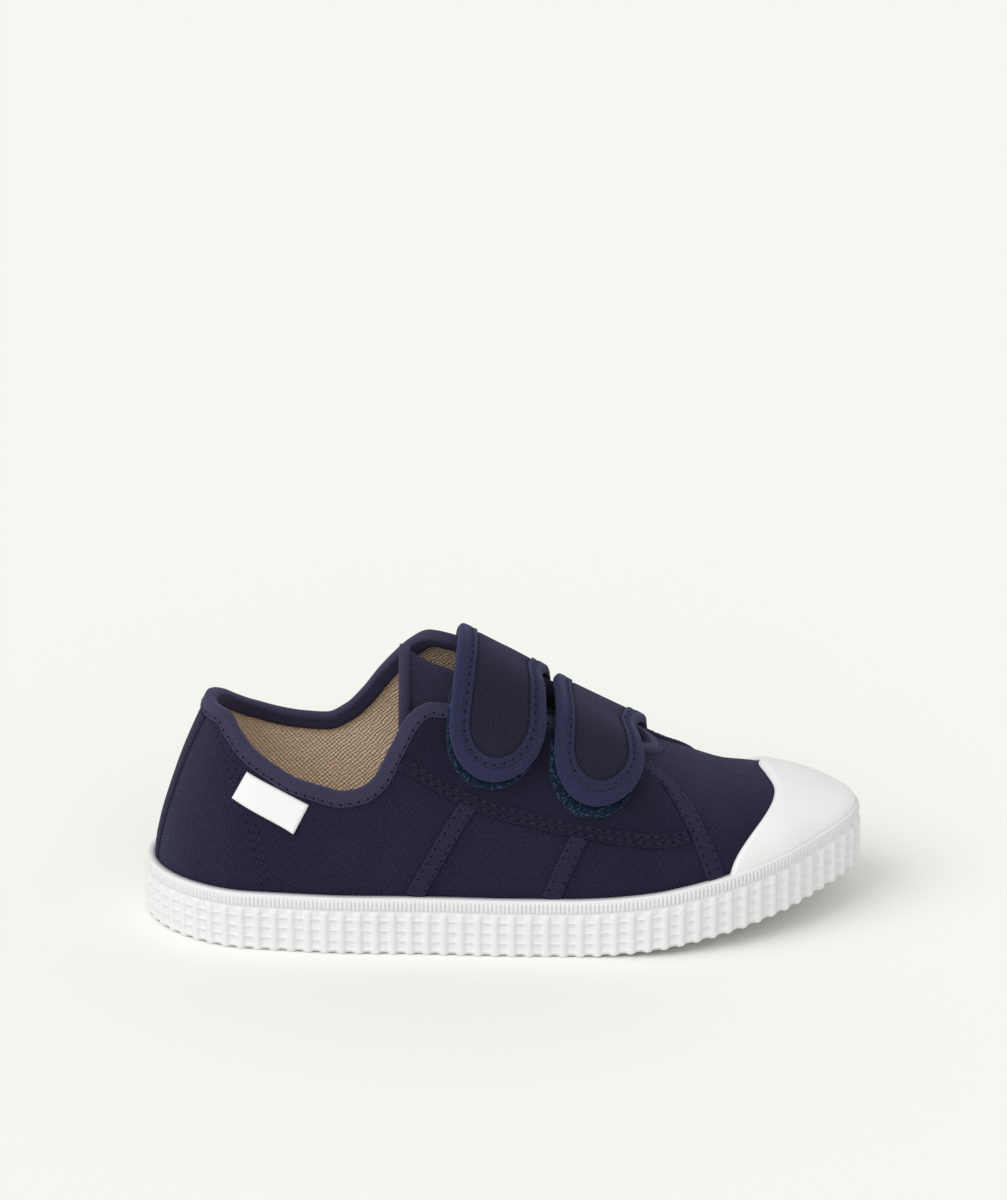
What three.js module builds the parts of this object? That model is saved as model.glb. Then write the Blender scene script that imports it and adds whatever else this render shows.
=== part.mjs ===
// Child's canvas sneaker for the right foot: a hollow cloth upper on a ribbed rubber sole,
// closed by two touch-fastening straps. Millimetres, +X to the toe, +Y to the inner side, +Z up.
import * as THREE from "three";
import { mergeVertices } from "three/addons/utils/BufferGeometryUtils.js";

// Overall sizes
const LENGTH = 190;
const HEEL_WIDTH = 53;
const BALL_WIDTH = 70;
const INSTEP_HEIGHT = 80;
const HEEL_HEIGHT = 62;
const TOE_HEIGHT = 36;
const HEEL_LEAN = 15.8;
const FIT = 0.3;

// Rubber sole
const SOLE_THICKNESS = 4;
const FOXING_HEIGHT = 15.7;
const FOXING_THICKNESS = 1.9;
const RIB_PITCH = 4.46;
const RIB_WIDTH = 1.9;
const RIB_DEPTH = 0.8;
const RIB_SLOPE = 0.3 * RIB_WIDTH;
const RIB_TOP_DROP = 3.8;
const BAND_DROP = 0.9;
const BAND_HEIGHT = 2.6;
const BAND_DEPTH = 0.3;
const TOE_SPRING = 12;
const ARCH_LIFT = 0.9;
const LUG_PITCH = 9;
const GROOVE_WIDTH = 2.2;
const GROOVE_DEPTH = 1.3;

// Upper, lining board and toe cap
const WALL = 1.4;
const HEEL_ROUND = 26;
const TOE_ROUND = 66;
const CROWN_ROUND = 23;
const THROAT_ROUND = 12;
const INSOLE_THICKNESS = 3;
const CAP_THICKNESS = 1;

// Cloth trim
const BINDING_WIDTH = 3.4;
const BINDING_THICKNESS = 0.6;
const BINDING_SLACK = 0.5;
const PANEL_THICKNESS = 0.5;
const HEM_WIDTH = 3.6;
const HEM_RISE = 0.35;
const TAPE_WIDTH = 4.5;
const TAPE_THICKNESS = 0.6;
const BACKSTAY_WIDTH = 13;
const LABEL_THICKNESS = 0.6;

// Tongue and straps
const TONGUE_WIDTH = 36;
const TONGUE_REACH = 0.56;
const TONGUE_THICKNESS = 2;
const TONGUE_HEM = 6;
const HEM_STEP = 0.4;
const TONGUE_HEM_RISE = 0.5;
const STRAP_WIDTH = 25;
const STRAP_THICKNESS = 1.9;
const STRAP_BORDER = 4.8;
const END_LENGTH = 1.2;
const BORDER_RISE = 0.5;
const PAD_SHIFT = 1.3;
const PAD_REACH = 3;
const PAD_THICKNESS = 1;
const PAD_START = 0.3;

// Outline of the last where it meets the sole: its middle line, as a share of the ball's width,
// and the half width to each side
const FOOTPRINT = [
  { at: 0.0, centre: 0.0, lateral: 0.415 * HEEL_WIDTH, medial: 0.415 * HEEL_WIDTH },
  { at: 0.08, centre: 0.0, lateral: 0.457 * HEEL_WIDTH, medial: 0.46 * HEEL_WIDTH },
  { at: 0.14, centre: 0.0, lateral: 0.494 * HEEL_WIDTH, medial: 0.49 * HEEL_WIDTH },
  { at: 0.2, centre: 0.0, lateral: 0.396 * BALL_WIDTH, medial: 0.369 * BALL_WIDTH },
  { at: 0.28, centre: 0.0, lateral: 0.42 * BALL_WIDTH, medial: 0.364 * BALL_WIDTH },
  { at: 0.36, centre: 0.003, lateral: 0.428 * BALL_WIDTH, medial: 0.369 * BALL_WIDTH },
  { at: 0.43, centre: 0.008, lateral: 0.442 * BALL_WIDTH, medial: 0.38 * BALL_WIDTH },
  { at: 0.5, centre: 0.015, lateral: 0.461 * BALL_WIDTH, medial: 0.407 * BALL_WIDTH },
  { at: 0.58, centre: 0.026, lateral: 0.476 * BALL_WIDTH, medial: 0.442 * BALL_WIDTH },
  { at: 0.66, centre: 0.04, lateral: 0.497 * BALL_WIDTH, medial: 0.47 * BALL_WIDTH },
  { at: 0.73, centre: 0.056, lateral: 0.514 * BALL_WIDTH, medial: 0.467 * BALL_WIDTH },
  { at: 0.8, centre: 0.074, lateral: 0.514 * BALL_WIDTH, medial: 0.452 * BALL_WIDTH },
  { at: 0.88, centre: 0.092, lateral: 0.492 * BALL_WIDTH, medial: 0.432 * BALL_WIDTH },
  { at: 0.94, centre: 0.105, lateral: 0.439 * BALL_WIDTH, medial: 0.403 * BALL_WIDTH },
  { at: 1.0, centre: 0.102, lateral: 0.385 * BALL_WIDTH, medial: 0.37 * BALL_WIDTH },
];
// Height of the last's ridge over the floor, and the bends of its cross-sections
const RIDGE = [
  { at: 0.0, crown: 1.194 * HEEL_HEIGHT },
  { at: 0.08, crown: 1.23 * HEEL_HEIGHT },
  { at: 0.14, crown: 1.255 * HEEL_HEIGHT },
  { at: 0.2, crown: 0.988 * INSTEP_HEIGHT },
  { at: 0.28, crown: 1.0 * INSTEP_HEIGHT },
  { at: 0.36, crown: 1.0 * INSTEP_HEIGHT },
  { at: 0.43, crown: 0.95 * INSTEP_HEIGHT },
  { at: 0.5, crown: 0.855 * INSTEP_HEIGHT },
  { at: 0.58, crown: 0.735 * INSTEP_HEIGHT },
  { at: 0.66, crown: 0.617 * INSTEP_HEIGHT },
  { at: 0.73, crown: 1.155 * TOE_HEIGHT },
  { at: 0.8, crown: 1.018 * TOE_HEIGHT },
  { at: 0.88, crown: 0.945 * TOE_HEIGHT },
  { at: 0.94, crown: 0.9 * TOE_HEIGHT },
  { at: 1.0, crown: 0.82 * TOE_HEIGHT },
];
const BENDS = [
  { at: 0.0, side: 2.0, crown: 2.0 },
  { at: 0.5, side: 2.0, crown: 2.0 },
  { at: 0.7, side: 2.15, crown: 2.0 },
  { at: 0.85, side: 2.3, crown: 2.1 },
  { at: 1.0, side: 2.4, crown: 2.1 },
];
const HEEL_BEND = 2.05;
const CROWN_BEND = 2.2;
const SPRING_START = 0.59;
const SPRING_BEND = 1.55;
const LEAN_BEND = 1.45;
const LEAN_FADE = 0.395;
const LEAN_FADE_BEND = 1.5;

// Edge of the collar and throat, as shares of a quarter turn from the ridge down to the foxing
const OPENING = [
  { at: 0.016, lateral: 0.462, medial: 0.462 },
  { at: 0.05, lateral: 0.476, medial: 0.525 },
  { at: 0.08, lateral: 0.53, medial: 0.58 },
  { at: 0.115, lateral: 0.59, medial: 0.63 },
  { at: 0.155, lateral: 0.64, medial: 0.666 },
  { at: 0.2, lateral: 0.687, medial: 0.688 },
  { at: 0.24, lateral: 0.709, medial: 0.696 },
  { at: 0.27, lateral: 0.722, medial: 0.665 },
  { at: 0.295, lateral: 0.715, medial: 0.605 },
  { at: 0.32, lateral: 0.683, medial: 0.52 },
  { at: 0.345, lateral: 0.588, medial: 0.44 },
  { at: 0.37, lateral: 0.489, medial: 0.36 },
  { at: 0.4, lateral: 0.43, medial: 0.262 },
  { at: 0.43, lateral: 0.41, medial: 0.23 },
  { at: 0.48, lateral: 0.34, medial: 0.22 },
  { at: 0.54, lateral: 0.265, medial: 0.205 },
  { at: 0.6, lateral: 0.22, medial: 0.19 },
  { at: 0.66, lateral: 0.13, medial: 0.18 },
  { at: 0.72, lateral: 0.04, medial: 0.175 },
];
const THROAT_END = 0.704;

// Lower edge of the facing panels, and the seam where the vamp begins, as seen from above
const FACING_HEM = [
  { at: 0.355, down: 0.655 },
  { at: 0.39, down: 0.683 },
  { at: 0.443, down: 0.724 },
  { at: 0.512, down: 0.744 },
  { at: 0.588, down: 0.743 },
  { at: 0.658, down: 0.735 },
  { at: 0.7, down: 0.728 },
  { at: 0.736, down: 0.705 },
  { at: 0.76, down: 0.67 },
];
const VAMP_SEAM = [
  { down: 0.0, at: 0.68 },
  { down: 0.2, at: 0.69 },
  { down: 0.24, at: 0.702 },
  { down: 0.262, at: 0.717 },
  { down: 0.306, at: 0.729 },
  { down: 0.4, at: 0.743 },
  { down: 0.507, at: 0.756 },
  { down: 0.612, at: 0.766 },
  { down: 0.734, at: 0.776 },
  { down: 0.919, at: 0.786 },
  { down: 1.0, at: 0.79 },
];
const SEAM_START = 0.265;
const SIDE_TAPES = [
  { name: "rear", top: 0.453, foot: 0.379 },
  { name: "front", top: 0.604, foot: 0.565 },
];
const CAP_EDGE = [
  { down: 0.0, at: 0.866 },
  { down: 0.15, at: 0.8665 },
  { down: 0.33, at: 0.867 },
  { down: 0.478, at: 0.86 },
  { down: 0.618, at: 0.845 },
  { down: 0.751, at: 0.829 },
  { down: 0.866, at: 0.817 },
  { down: 1.0, at: 0.809 },
];
const LABEL = [
  { at: 0.121, down: 0.66 },
  { at: 0.225, down: 0.754 },
  { at: 0.108, down: 0.742 },
  { at: 0.208, down: 0.834 },
];

// How far the tongue lies under the last, and each strap's middle line from its rounded end
// on the outer side over the ridge to its sewn end on the inner side; the front strap lies
// about a strap's width ahead of the rear one
const TONGUE_DROP = [
  { at: 0.348, drop: 0.081 * INSTEP_HEIGHT },
  { at: 0.43, drop: 0.108 * INSTEP_HEIGHT },
  { at: 0.5, drop: 0.098 * INSTEP_HEIGHT },
  { at: 0.58, drop: 0.075 * INSTEP_HEIGHT },
  { at: 0.66, drop: 0.05 * INSTEP_HEIGHT },
  { at: 0.71, drop: 0.037 * INSTEP_HEIGHT },
  { at: 0.79, drop: 0.037 * INSTEP_HEIGHT },
];
const NEXT_STRAP = STRAP_WIDTH / LENGTH;
const STRAPS = [
  { name: "rear", end: 0.488, ridge: 0.49, sewn: 0.501, lateralReach: 0.622, medialReach: 0.62 },
  {
    name: "front",
    end: 0.487 + 1.072 * NEXT_STRAP,
    ridge: 0.489 + 0.99 * NEXT_STRAP,
    sewn: 0.5 + 1.045 * NEXT_STRAP,
    lateralReach: 0.59,
    medialReach: 0.56,
  },
];

// Colours
const NAVY = { color: 0x24263f, roughness: 0.95, metalness: 0 };
const TRIM_NAVY = { color: 0x2b2e4e, roughness: 0.9, metalness: 0 };
const PAD_BLUE = { color: 0x1d3a5e, roughness: 1, metalness: 0 };
const RUBBER = { color: 0xeeeeec, roughness: 0.5, metalness: 0 };
const LINING = { color: 0xc9b494, roughness: 0.95, metalness: 0 };
const WHITE_TAPE = { color: 0xf2f2f0, roughness: 0.8, metalness: 0 };

const LATERAL = -1;
const MEDIAL = 1;
const QUARTER = Math.PI / 2;
const BACK = FOXING_THICKNESS + RIB_DEPTH + FIT;
const FRONT = LENGTH - BACK;
const THROAT_FRONT = THROAT_END * LENGTH;
const NUDGE = 1e-3;
const WALK_STEP = 1.5;
const SIDE_ARC = 0.62 * BALL_WIDTH * QUARTER;

const share = (value) => Math.min(Math.max(value, 0), 1);
const mix = (a, b, t) => a + (b - a) * t;

// A smooth curve through one column of a table that never overshoots its rows
function column(table, name, at, key = "at") {
  const last = table.length - 1;
  const x = Math.min(Math.max(at, table[0][key]), table[last][key]);
  let row = 0;
  while (row < last - 1 && x > table[row + 1][key]) row++;
  const grade = (i) => (table[i + 1][name] - table[i][name]) / (table[i + 1][key] - table[i][key]);
  const slope = (i) => {
    if (i === 0) return grade(0);
    if (i === last) return grade(last - 1);
    const [before, after] = [grade(i - 1), grade(i)];
    return before * after > 0 ? (2 * before * after) / (before + after) : 0;
  };
  const span = table[row + 1][key] - table[row][key];
  const t = (x - table[row][key]) / span;
  return (
    (2 * t ** 3 - 3 * t ** 2 + 1) * table[row][name] +
    (t ** 3 - 2 * t ** 2 + t) * span * slope(row) +
    (3 * t ** 2 - 2 * t ** 3) * table[row + 1][name] +
    (t ** 3 - t ** 2) * span * slope(row + 1)
  );
}

// Share of the full size at a distance inside a rounded end
function roundOff(distance, radius, bend) {
  return (1 - share(1 - distance / radius) ** bend) ** (1 / bend);
}

// The floor line under the shoe, which rises to the toe
function ground(x) {
  const t = share((x / LENGTH - SPRING_START) / (1 - SPRING_START));
  return TOE_SPRING * t ** SPRING_BEND;
}

// Turns along the shoe run from 0 at the back seam to 1 at the toe
const turnAt = (x) => Math.acos(1 - (2 * (x - BACK)) / (FRONT - BACK)) / Math.PI;
const stationAt = (turn) => BACK + ((FRONT - BACK) * (1 - Math.cos(Math.PI * turn))) / 2;

// Middle line and half width of the upper where it meets the sole
function plan(x, side) {
  const ends = roundOff(x - BACK, HEEL_ROUND, HEEL_BEND) * roundOff(FRONT - x, TOE_ROUND, 2);
  const centre = column(FOOTPRINT, "centre", x / LENGTH) * BALL_WIDTH;
  const name = side === LATERAL ? "lateral" : "medial";
  return { centre, half: column(FOOTPRINT, name, x / LENGTH) * ends };
}

// How far the back of the shoe leans forward at a height
function lean(x, z) {
  const up = Math.max((z - FOXING_HEIGHT) / (HEEL_HEIGHT - FOXING_HEIGHT), 0);
  const fade = share(1 - (x - BACK) / (LEAN_FADE * LENGTH));
  return HEEL_LEAN * up ** LEAN_BEND * fade ** LEAN_FADE_BEND;
}

// A point of the last: the angle is 0 on the ridge and a quarter turn at the foxing line,
// negative on the outer side
function lastPoint(turn, angle) {
  const x = stationAt(turn);
  const side = angle < 0 ? LATERAL : MEDIAL;
  const { centre, half } = plan(x, side);
  const sideBend = column(BENDS, "side", x / LENGTH);
  const crownBend = column(BENDS, "crown", x / LENGTH);
  const foot = ground(x) + FOXING_HEIGHT;
  const toeRound = roundOff(FRONT - x, CROWN_ROUND, CROWN_BEND);
  const rise = (column(RIDGE, "crown", x / LENGTH) - foot) * toeRound;
  const y = centre + side * half * Math.abs(Math.sin(angle)) ** (2 / sideBend);
  const z = foot + rise * Math.abs(Math.cos(angle)) ** (2 / crownBend);
  return new THREE.Vector3(x + lean(x, z), y, z);
}

// Directions along the last's two parameters, and the outward normal
function tangents(turn, angle) {
  if (turn > 1 - NUDGE / 2) {
    const forward = new THREE.Vector3(1, 0, 0);
    return { lengthwise: new THREE.Vector3(0, 1, 0), around: new THREE.Vector3(0, 0, 1), normal: forward };
  }
  const after = lastPoint(Math.min(turn + NUDGE, 1), angle);
  const before = turn < NUDGE ? lastPoint(NUDGE - turn, -angle) : lastPoint(turn - NUDGE, angle);
  const lengthwise = after.sub(before).divideScalar(Math.min(turn + NUDGE, 1) - (turn - NUDGE));
  const high = Math.min(angle + NUDGE, QUARTER);
  const low = Math.max(angle - NUDGE, -QUARTER);
  const around = lastPoint(turn, high).sub(lastPoint(turn, low)).divideScalar(high - low);
  return { lengthwise, around, normal: lengthwise.clone().cross(around).normalize() };
}

// A point at a height over the last's surface
function onLast(turn, angle, height = 0) {
  return lastPoint(turn, angle).addScaledVector(tangents(turn, angle).normal, height);
}

// A point of the upright wall under the foxing line, offset outwards from the plan
function onWall(turn, side, lift, outwards) {
  const point = lastPoint(turn, side * QUARTER);
  const normal = tangents(turn, side * QUARTER).normal.setZ(0).normalize();
  const base = ground(stationAt(turn));
  return new THREE.Vector3(point.x + normal.x * outwards, point.y + normal.y * outwards, base + lift);
}

// Follows the surface from one place in a direction for a distance
function walk(turn, angle, direction, distance) {
  const steps = Math.max(1, Math.ceil(Math.abs(distance) / WALK_STEP));
  const heading = direction.clone();
  const place = { turn, angle };
  for (let i = 0; i < steps; i++) {
    const { lengthwise, around, normal } = tangents(place.turn, place.angle);
    heading.addScaledVector(normal, -heading.dot(normal)).normalize();
    const [a, b, c] = [lengthwise.lengthSq(), lengthwise.dot(around), around.lengthSq()];
    const [d, e] = [lengthwise.dot(heading), around.dot(heading)];
    const scale = distance / steps / (a * c - b * b);
    place.turn = share(place.turn + scale * (d * c - e * b));
    place.angle = Math.min(Math.max(place.angle + scale * (e * a - d * b), -QUARTER), QUARTER);
  }
  return place;
}

// Triangles of one closed body, kept as a list of corners
class Body {
  constructor() {
    this.corners = [];
  }
  triangle(a, b, c) {
    this.corners.push(a, b, c);
  }
  quad(a, b, c, d) {
    this.triangle(a, b, c);
    this.triangle(a, c, d);
  }
  // A fan over a flat end
  fan(loop) {
    for (let i = 1; i < loop.length - 1; i++) this.triangle(loop[0], loop[i], loop[i + 1]);
  }
  // Joins two closed loops of any number of points; each point holds its place on the loop
  bridge(lower, upper) {
    let [i, j] = [0, 0];
    const place = (loop, k) => loop[k % loop.length].place + Math.floor(k / loop.length);
    while (i < lower.length || j < upper.length) {
      const a = lower[i % lower.length].point;
      const b = upper[j % upper.length].point;
      const nextLower = i < lower.length ? place(lower, i + 1) : Infinity;
      const nextUpper = j < upper.length ? place(upper, j + 1) : Infinity;
      if (nextLower <= nextUpper) this.triangle(a, lower[++i % lower.length].point, b);
      else this.triangle(a, upper[++j % upper.length].point, b);
    }
  }
  // The mesh, without the triangles that have shrunk to nothing
  mesh(name, look) {
    const geometry = new THREE.BufferGeometry().setFromPoints(this.corners);
    const merged = mergeVertices(geometry, NUDGE);
    const index = merged.getIndex();
    const kept = [];
    for (let i = 0; i < index.count; i += 3) {
      const [a, b, c] = [index.getX(i), index.getX(i + 1), index.getX(i + 2)];
      if (a !== b && b !== c && c !== a) kept.push(a, b, c);
    }
    merged.setIndex(kept);
    merged.computeVertexNormals();
    const mesh = new THREE.Mesh(merged, new THREE.MeshStandardMaterial(look));
    mesh.name = name;
    return mesh;
  }
}

// A thin slab between two grids of the same size; the top grid faces out
function slab(name, look, top, bottom) {
  const body = new Body();
  const [rows, columns] = [top.length - 1, top[0].length - 1];
  for (let i = 0; i < rows; i++) {
    for (let j = 0; j < columns; j++) {
      body.quad(top[i][j], top[i + 1][j], top[i + 1][j + 1], top[i][j + 1]);
      body.quad(bottom[i][j], bottom[i][j + 1], bottom[i + 1][j + 1], bottom[i + 1][j]);
    }
    body.quad(bottom[i][0], bottom[i + 1][0], top[i + 1][0], top[i][0]);
    body.quad(top[i][columns], top[i + 1][columns], bottom[i + 1][columns], bottom[i][columns]);
  }
  for (let j = 0; j < columns; j++) {
    body.quad(bottom[0][j], top[0][j], top[0][j + 1], bottom[0][j + 1]);
    body.quad(top[rows][j], bottom[rows][j], bottom[rows][j + 1], top[rows][j + 1]);
  }
  return body.mesh(name, look);
}

// Evenly rounded spacing: small steps first where the shape turns fastest
const easeIn = (i, count) => 1 - Math.cos((QUARTER * i) / count);

// Stations along the upper: close together round the heel, the throat's end and the toe
function upperStations() {
  const stations = [];
  const steps = { heel: 8, side: 19, throat: 6, toe: 11 };
  for (let i = 0; i <= steps.heel; i++) stations.push(BACK + HEEL_ROUND * easeIn(i, steps.heel));
  const [from, to] = [BACK + HEEL_ROUND, THROAT_FRONT - THROAT_ROUND];
  for (let i = 1; i <= steps.side; i++) stations.push(mix(from, to, i / steps.side));
  for (let i = steps.throat - 1; i >= 0; i--) {
    stations.push(THROAT_FRONT - THROAT_ROUND * easeIn(i, steps.throat));
  }
  const toeReach = Math.min(TOE_ROUND, FRONT - THROAT_FRONT - WALL);
  for (let i = steps.toe; i >= 0; i--) stations.push(FRONT - toeReach * easeIn(i, steps.toe));
  return stations;
}
const STATIONS = upperStations();
const OPEN_STATIONS = STATIONS.filter((x) => x < THROAT_FRONT + NUDGE);

// Angle of the opening's edge at a station, which closes to 0 at the throat's end
function edgeAngle(x, side) {
  if (x >= THROAT_FRONT - NUDGE) return 0;
  const down = column(OPENING, side === LATERAL ? "lateral" : "medial", x / LENGTH);
  return side * down * QUARTER * roundOff(THROAT_FRONT - x, THROAT_ROUND, 2);
}

// The opening's edge as a closed loop, from the back seam along the outer side to the throat's
// end and back along the inner side, with the directions at each point
function openingLoop(stations) {
  const places = stations.map((x) => ({ turn: turnAt(x), angle: edgeAngle(x, LATERAL) }));
  for (const x of stations.slice(1, -1).reverse()) {
    places.push({ turn: turnAt(x), angle: edgeAngle(x, MEDIAL) });
  }
  const points = places.map(({ turn, angle }) => lastPoint(turn, angle));
  return places.map((place, i) => {
    const next = points[(i + 1) % points.length];
    const previous = points[(i + points.length - 1) % points.length];
    const along = next.clone().sub(previous).normalize();
    const { normal } = tangents(place.turn, place.angle);
    const down = along.clone().cross(normal).normalize();
    return { ...place, point: points[i], normal, down };
  });
}

// A line below the opening's edge at a distance, as the angle at each station of one side
function belowEdge(distance, side) {
  const dense = [];
  for (let i = 0; i < OPEN_STATIONS.length - 1; i++) {
    for (const t of [0, 0.5]) dense.push(mix(OPEN_STATIONS[i], OPEN_STATIONS[i + 1], t));
  }
  dense.push(THROAT_FRONT);
  const loop = openingLoop(dense);
  const places = loop.map((p) => walk(p.turn, p.angle, p.down, distance));
  const line = places
    .filter((p) => p.angle * side >= 0)
    .map((p) => ({ at: stationAt(p.turn), angle: p.angle }))
    .sort((a, b) => a.at - b.at);
  return (x) => {
    let i = 0;
    while (i < line.length - 2 && x > line[i + 1].at) i++;
    const t = share((x - line[i].at) / Math.max(line[i + 1].at - line[i].at, NUDGE));
    return mix(line[i].angle, line[i + 1].angle, t);
  };
}

// The hollow upper, open at the collar, along the throat and underneath
function makeUpper() {
  const body = new Body();
  const count = STATIONS.length - 1;
  const domeRows = 6;
  const loopAt = (row, inwards) => {
    const point = (x, side) => {
      const turn = turnAt(x);
      if (row === 0) return onWall(turn, side, SOLE_THICKNESS + FIT, -inwards);
      if (row === 1) return onWall(turn, side, FOXING_HEIGHT, -inwards);
      const t = (row - 1) / domeRows;
      return onLast(turn, mix(side * QUARTER, edgeAngle(x, side), t), -inwards);
    };
    const loop = STATIONS.map((x) => point(x, LATERAL));
    for (const x of STATIONS.slice(1, -1).reverse()) loop.push(point(x, MEDIAL));
    return loop;
  };
  const join = (lower, upper, used = () => true) => {
    lower.forEach((point, i) => {
      const next = (i + 1) % lower.length;
      if (used(i)) body.quad(point, lower[next], upper[next], upper[i]);
    });
  };
  const rows = domeRows + 2;
  const outer = Array.from({ length: rows }, (_, row) => loopAt(row, 0));
  const inner = Array.from({ length: rows }, (_, row) => loopAt(row, WALL));
  for (let row = 0; row < rows - 1; row++) {
    join(outer[row], outer[row + 1]);
    join(inner[row + 1], inner[row]);
  }
  const open = OPEN_STATIONS.length - 1;
  join(outer[rows - 1], inner[rows - 1], (i) => i < open || i >= 2 * count - open);
  join(inner[0], outer[0]);
  return body.mesh("upper", NAVY);
}

// Places evenly spaced round the plan, measured on the outside of the foxing
function planWalker(outwards) {
  const steps = 480;
  const samples = [];
  for (let i = 0; i <= steps; i++) {
    const turn = i <= steps / 2 ? (2 * i) / steps : 2 - (2 * i) / steps;
    const side = i <= steps / 2 ? LATERAL : MEDIAL;
    samples.push({ turn, side, signed: (2 * i) / steps, point: onWall(turn, side, 0, outwards).setZ(0) });
  }
  const lengths = [0];
  for (let i = 1; i <= steps; i++) {
    lengths.push(lengths[i - 1] + samples[i].point.distanceTo(samples[i - 1].point));
  }
  const total = lengths[steps];
  const at = (distance) => {
    const d = ((distance % total) + total) % total;
    let i = 0;
    while (i < steps - 1 && d > lengths[i + 1]) i++;
    const t = (d - lengths[i]) / (lengths[i + 1] - lengths[i]);
    const signed = mix(samples[i].signed, samples[i + 1].signed, t);
    return signed <= 1 ? { turn: signed, side: LATERAL } : { turn: 2 - signed, side: MEDIAL };
  };
  const distanceTo = (turn, side) => {
    const signed = side === LATERAL ? turn : 2 - turn;
    const position = (signed * steps) / 2;
    const i = Math.min(Math.floor(position), steps - 1);
    return mix(lengths[i], lengths[i + 1], position - i);
  };
  return { total, at, distanceTo };
}

// The rubber band round the upper: ribs on its lower part and a finely cut band over them
function makeFoxing() {
  const body = new Body();
  const base = FIT + FOXING_THICKNESS;
  const walker = planWalker(base + RIB_DEPTH);
  const ribs = Math.round(walker.total / RIB_PITCH);
  const pitch = walker.total / ribs;
  const ribProfile = [
    { along: -RIB_WIDTH / 2, crest: 0 },
    { along: RIB_SLOPE - RIB_WIDTH / 2, crest: 1 },
    { along: RIB_WIDTH / 2 - RIB_SLOPE, crest: 1 },
    { along: RIB_WIDTH / 2, crest: 0 },
  ];
  const pair = [
    { along: -RIB_WIDTH / 2, crest: 0 },
    { along: RIB_WIDTH / 2, crest: 0 },
  ];
  const single = [{ along: 0, crest: 0 }];
  const loop = (profile, lift, outwards) => {
    const points = [];
    for (let rib = 0; rib < ribs; rib++) {
      for (const { along, crest } of profile) {
        const distance = (rib + 0.5) * pitch + along;
        const { turn, side } = walker.at(distance);
        const point = onWall(turn, side, lift, outwards + crest * RIB_DEPTH);
        points.push({ place: distance / walker.total, point });
      }
    }
    return points;
  };
  const ribTop = FOXING_HEIGHT - RIB_TOP_DROP;
  const bandTop = FOXING_HEIGHT - BAND_DROP;
  const loops = [
    loop(single, 0, FIT),
    loop(ribProfile, 0, base),
    loop(ribProfile, ribTop - RIB_DEPTH, base),
    loop(pair, ribTop, base),
    loop(single, bandTop - BAND_HEIGHT, base + BAND_DEPTH),
    loop(single, bandTop, base + BAND_DEPTH),
    loop(single, FOXING_HEIGHT, base),
    loop(single, FOXING_HEIGHT, FIT),
  ];
  loops.forEach((lower, i) => body.bridge(lower, loops[(i + 1) % loops.length]));
  return body.mesh("foxing", RUBBER);
}

// A board inside the plan, from stations with their own lower height
function board(name, look, stations, inset, lower, upper) {
  const body = new Body();
  const sections = stations.map((x) => {
    const turn = turnAt(x);
    const corner = (side, lift) => onWall(turn, side, lift, -inset);
    return [
      corner(LATERAL, lower(x)),
      corner(MEDIAL, lower(x)),
      corner(MEDIAL, upper),
      corner(LATERAL, upper),
    ];
  });
  for (let i = 0; i < sections.length - 1; i++) {
    const [near, far] = [sections[i], sections[i + 1]];
    for (let j = 0; j < 4; j++) {
      const k = (j + 1) % 4;
      body.quad(near[j], near[k], far[k], far[j]);
    }
  }
  return body.mesh(name, look);
}

// The outsole: flat under heel and forefoot, lifted under the arch, with grooves across it
const HEEL_REST = 0.137 * LENGTH;
const FOREFOOT_REST = 0.563 * LENGTH;
const ARCH = { from: 0.26 * LENGTH, to: 0.47 * LENGTH };
const LUG_SPANS = [
  { first: HEEL_REST, from: 0.055 * LENGTH, to: ARCH.from },
  { first: FOREFOOT_REST, from: ARCH.to, to: 0.94 * LENGTH },
];
function makeOutsole() {
  const archLift = (x) => {
    const t = share((x - ARCH.from) / (ARCH.to - ARCH.from));
    return ARCH_LIFT * Math.sin(Math.PI * t) ** 2;
  };
  const grooves = [];
  for (const { first, from, to } of LUG_SPANS) {
    const start = first + LUG_PITCH / 2 - LUG_PITCH * Math.floor((first + LUG_PITCH / 2 - from) / LUG_PITCH);
    for (let x = start; x < to; x += LUG_PITCH) grooves.push(x);
  }
  const slope = GROOVE_DEPTH / 3;
  const inGroove = (x) => grooves.some((g) => Math.abs(x - g) < GROOVE_WIDTH / 2 - slope + NUDGE);
  const edges = grooves.flatMap((g) => [
    g - GROOVE_WIDTH / 2,
    g - GROOVE_WIDTH / 2 + slope,
    g + GROOVE_WIDTH / 2 - slope,
    g + GROOVE_WIDTH / 2,
  ]);
  const nearEdge = (x) => grooves.some((g) => Math.abs(x - g) < GROOVE_WIDTH / 2 + NUDGE);
  const needed = (x, i) => i % 2 === 0 || x < HEEL_ROUND || x > FRONT - TOE_ROUND;
  const kept = STATIONS.filter((x, i) => !nearEdge(x) && needed(x, i));
  const stations = [...kept, ...edges].sort((a, b) => a - b);
  const lower = (x) => archLift(x) + (inGroove(x) ? GROOVE_DEPTH : 0);
  return board("outsole", RUBBER, stations, 0, lower, SOLE_THICKNESS);
}

function makeInsole() {
  const bottom = SOLE_THICKNESS + FIT;
  return board("insole", LINING, STATIONS, WALL + FIT, () => bottom, bottom + INSOLE_THICKNESS);
}

// The place on the last over a point of the plan
function placeOver(x, y) {
  const turn = turnAt(x);
  const side = y < plan(x, LATERAL).centre ? LATERAL : MEDIAL;
  const { centre, half } = plan(x, side);
  const sideBend = column(BENDS, "side", x / LENGTH);
  const angle = Math.asin(share(Math.abs(y - centre) / half) ** (sideBend / 2));
  return { turn, angle: side * angle };
}

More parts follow.
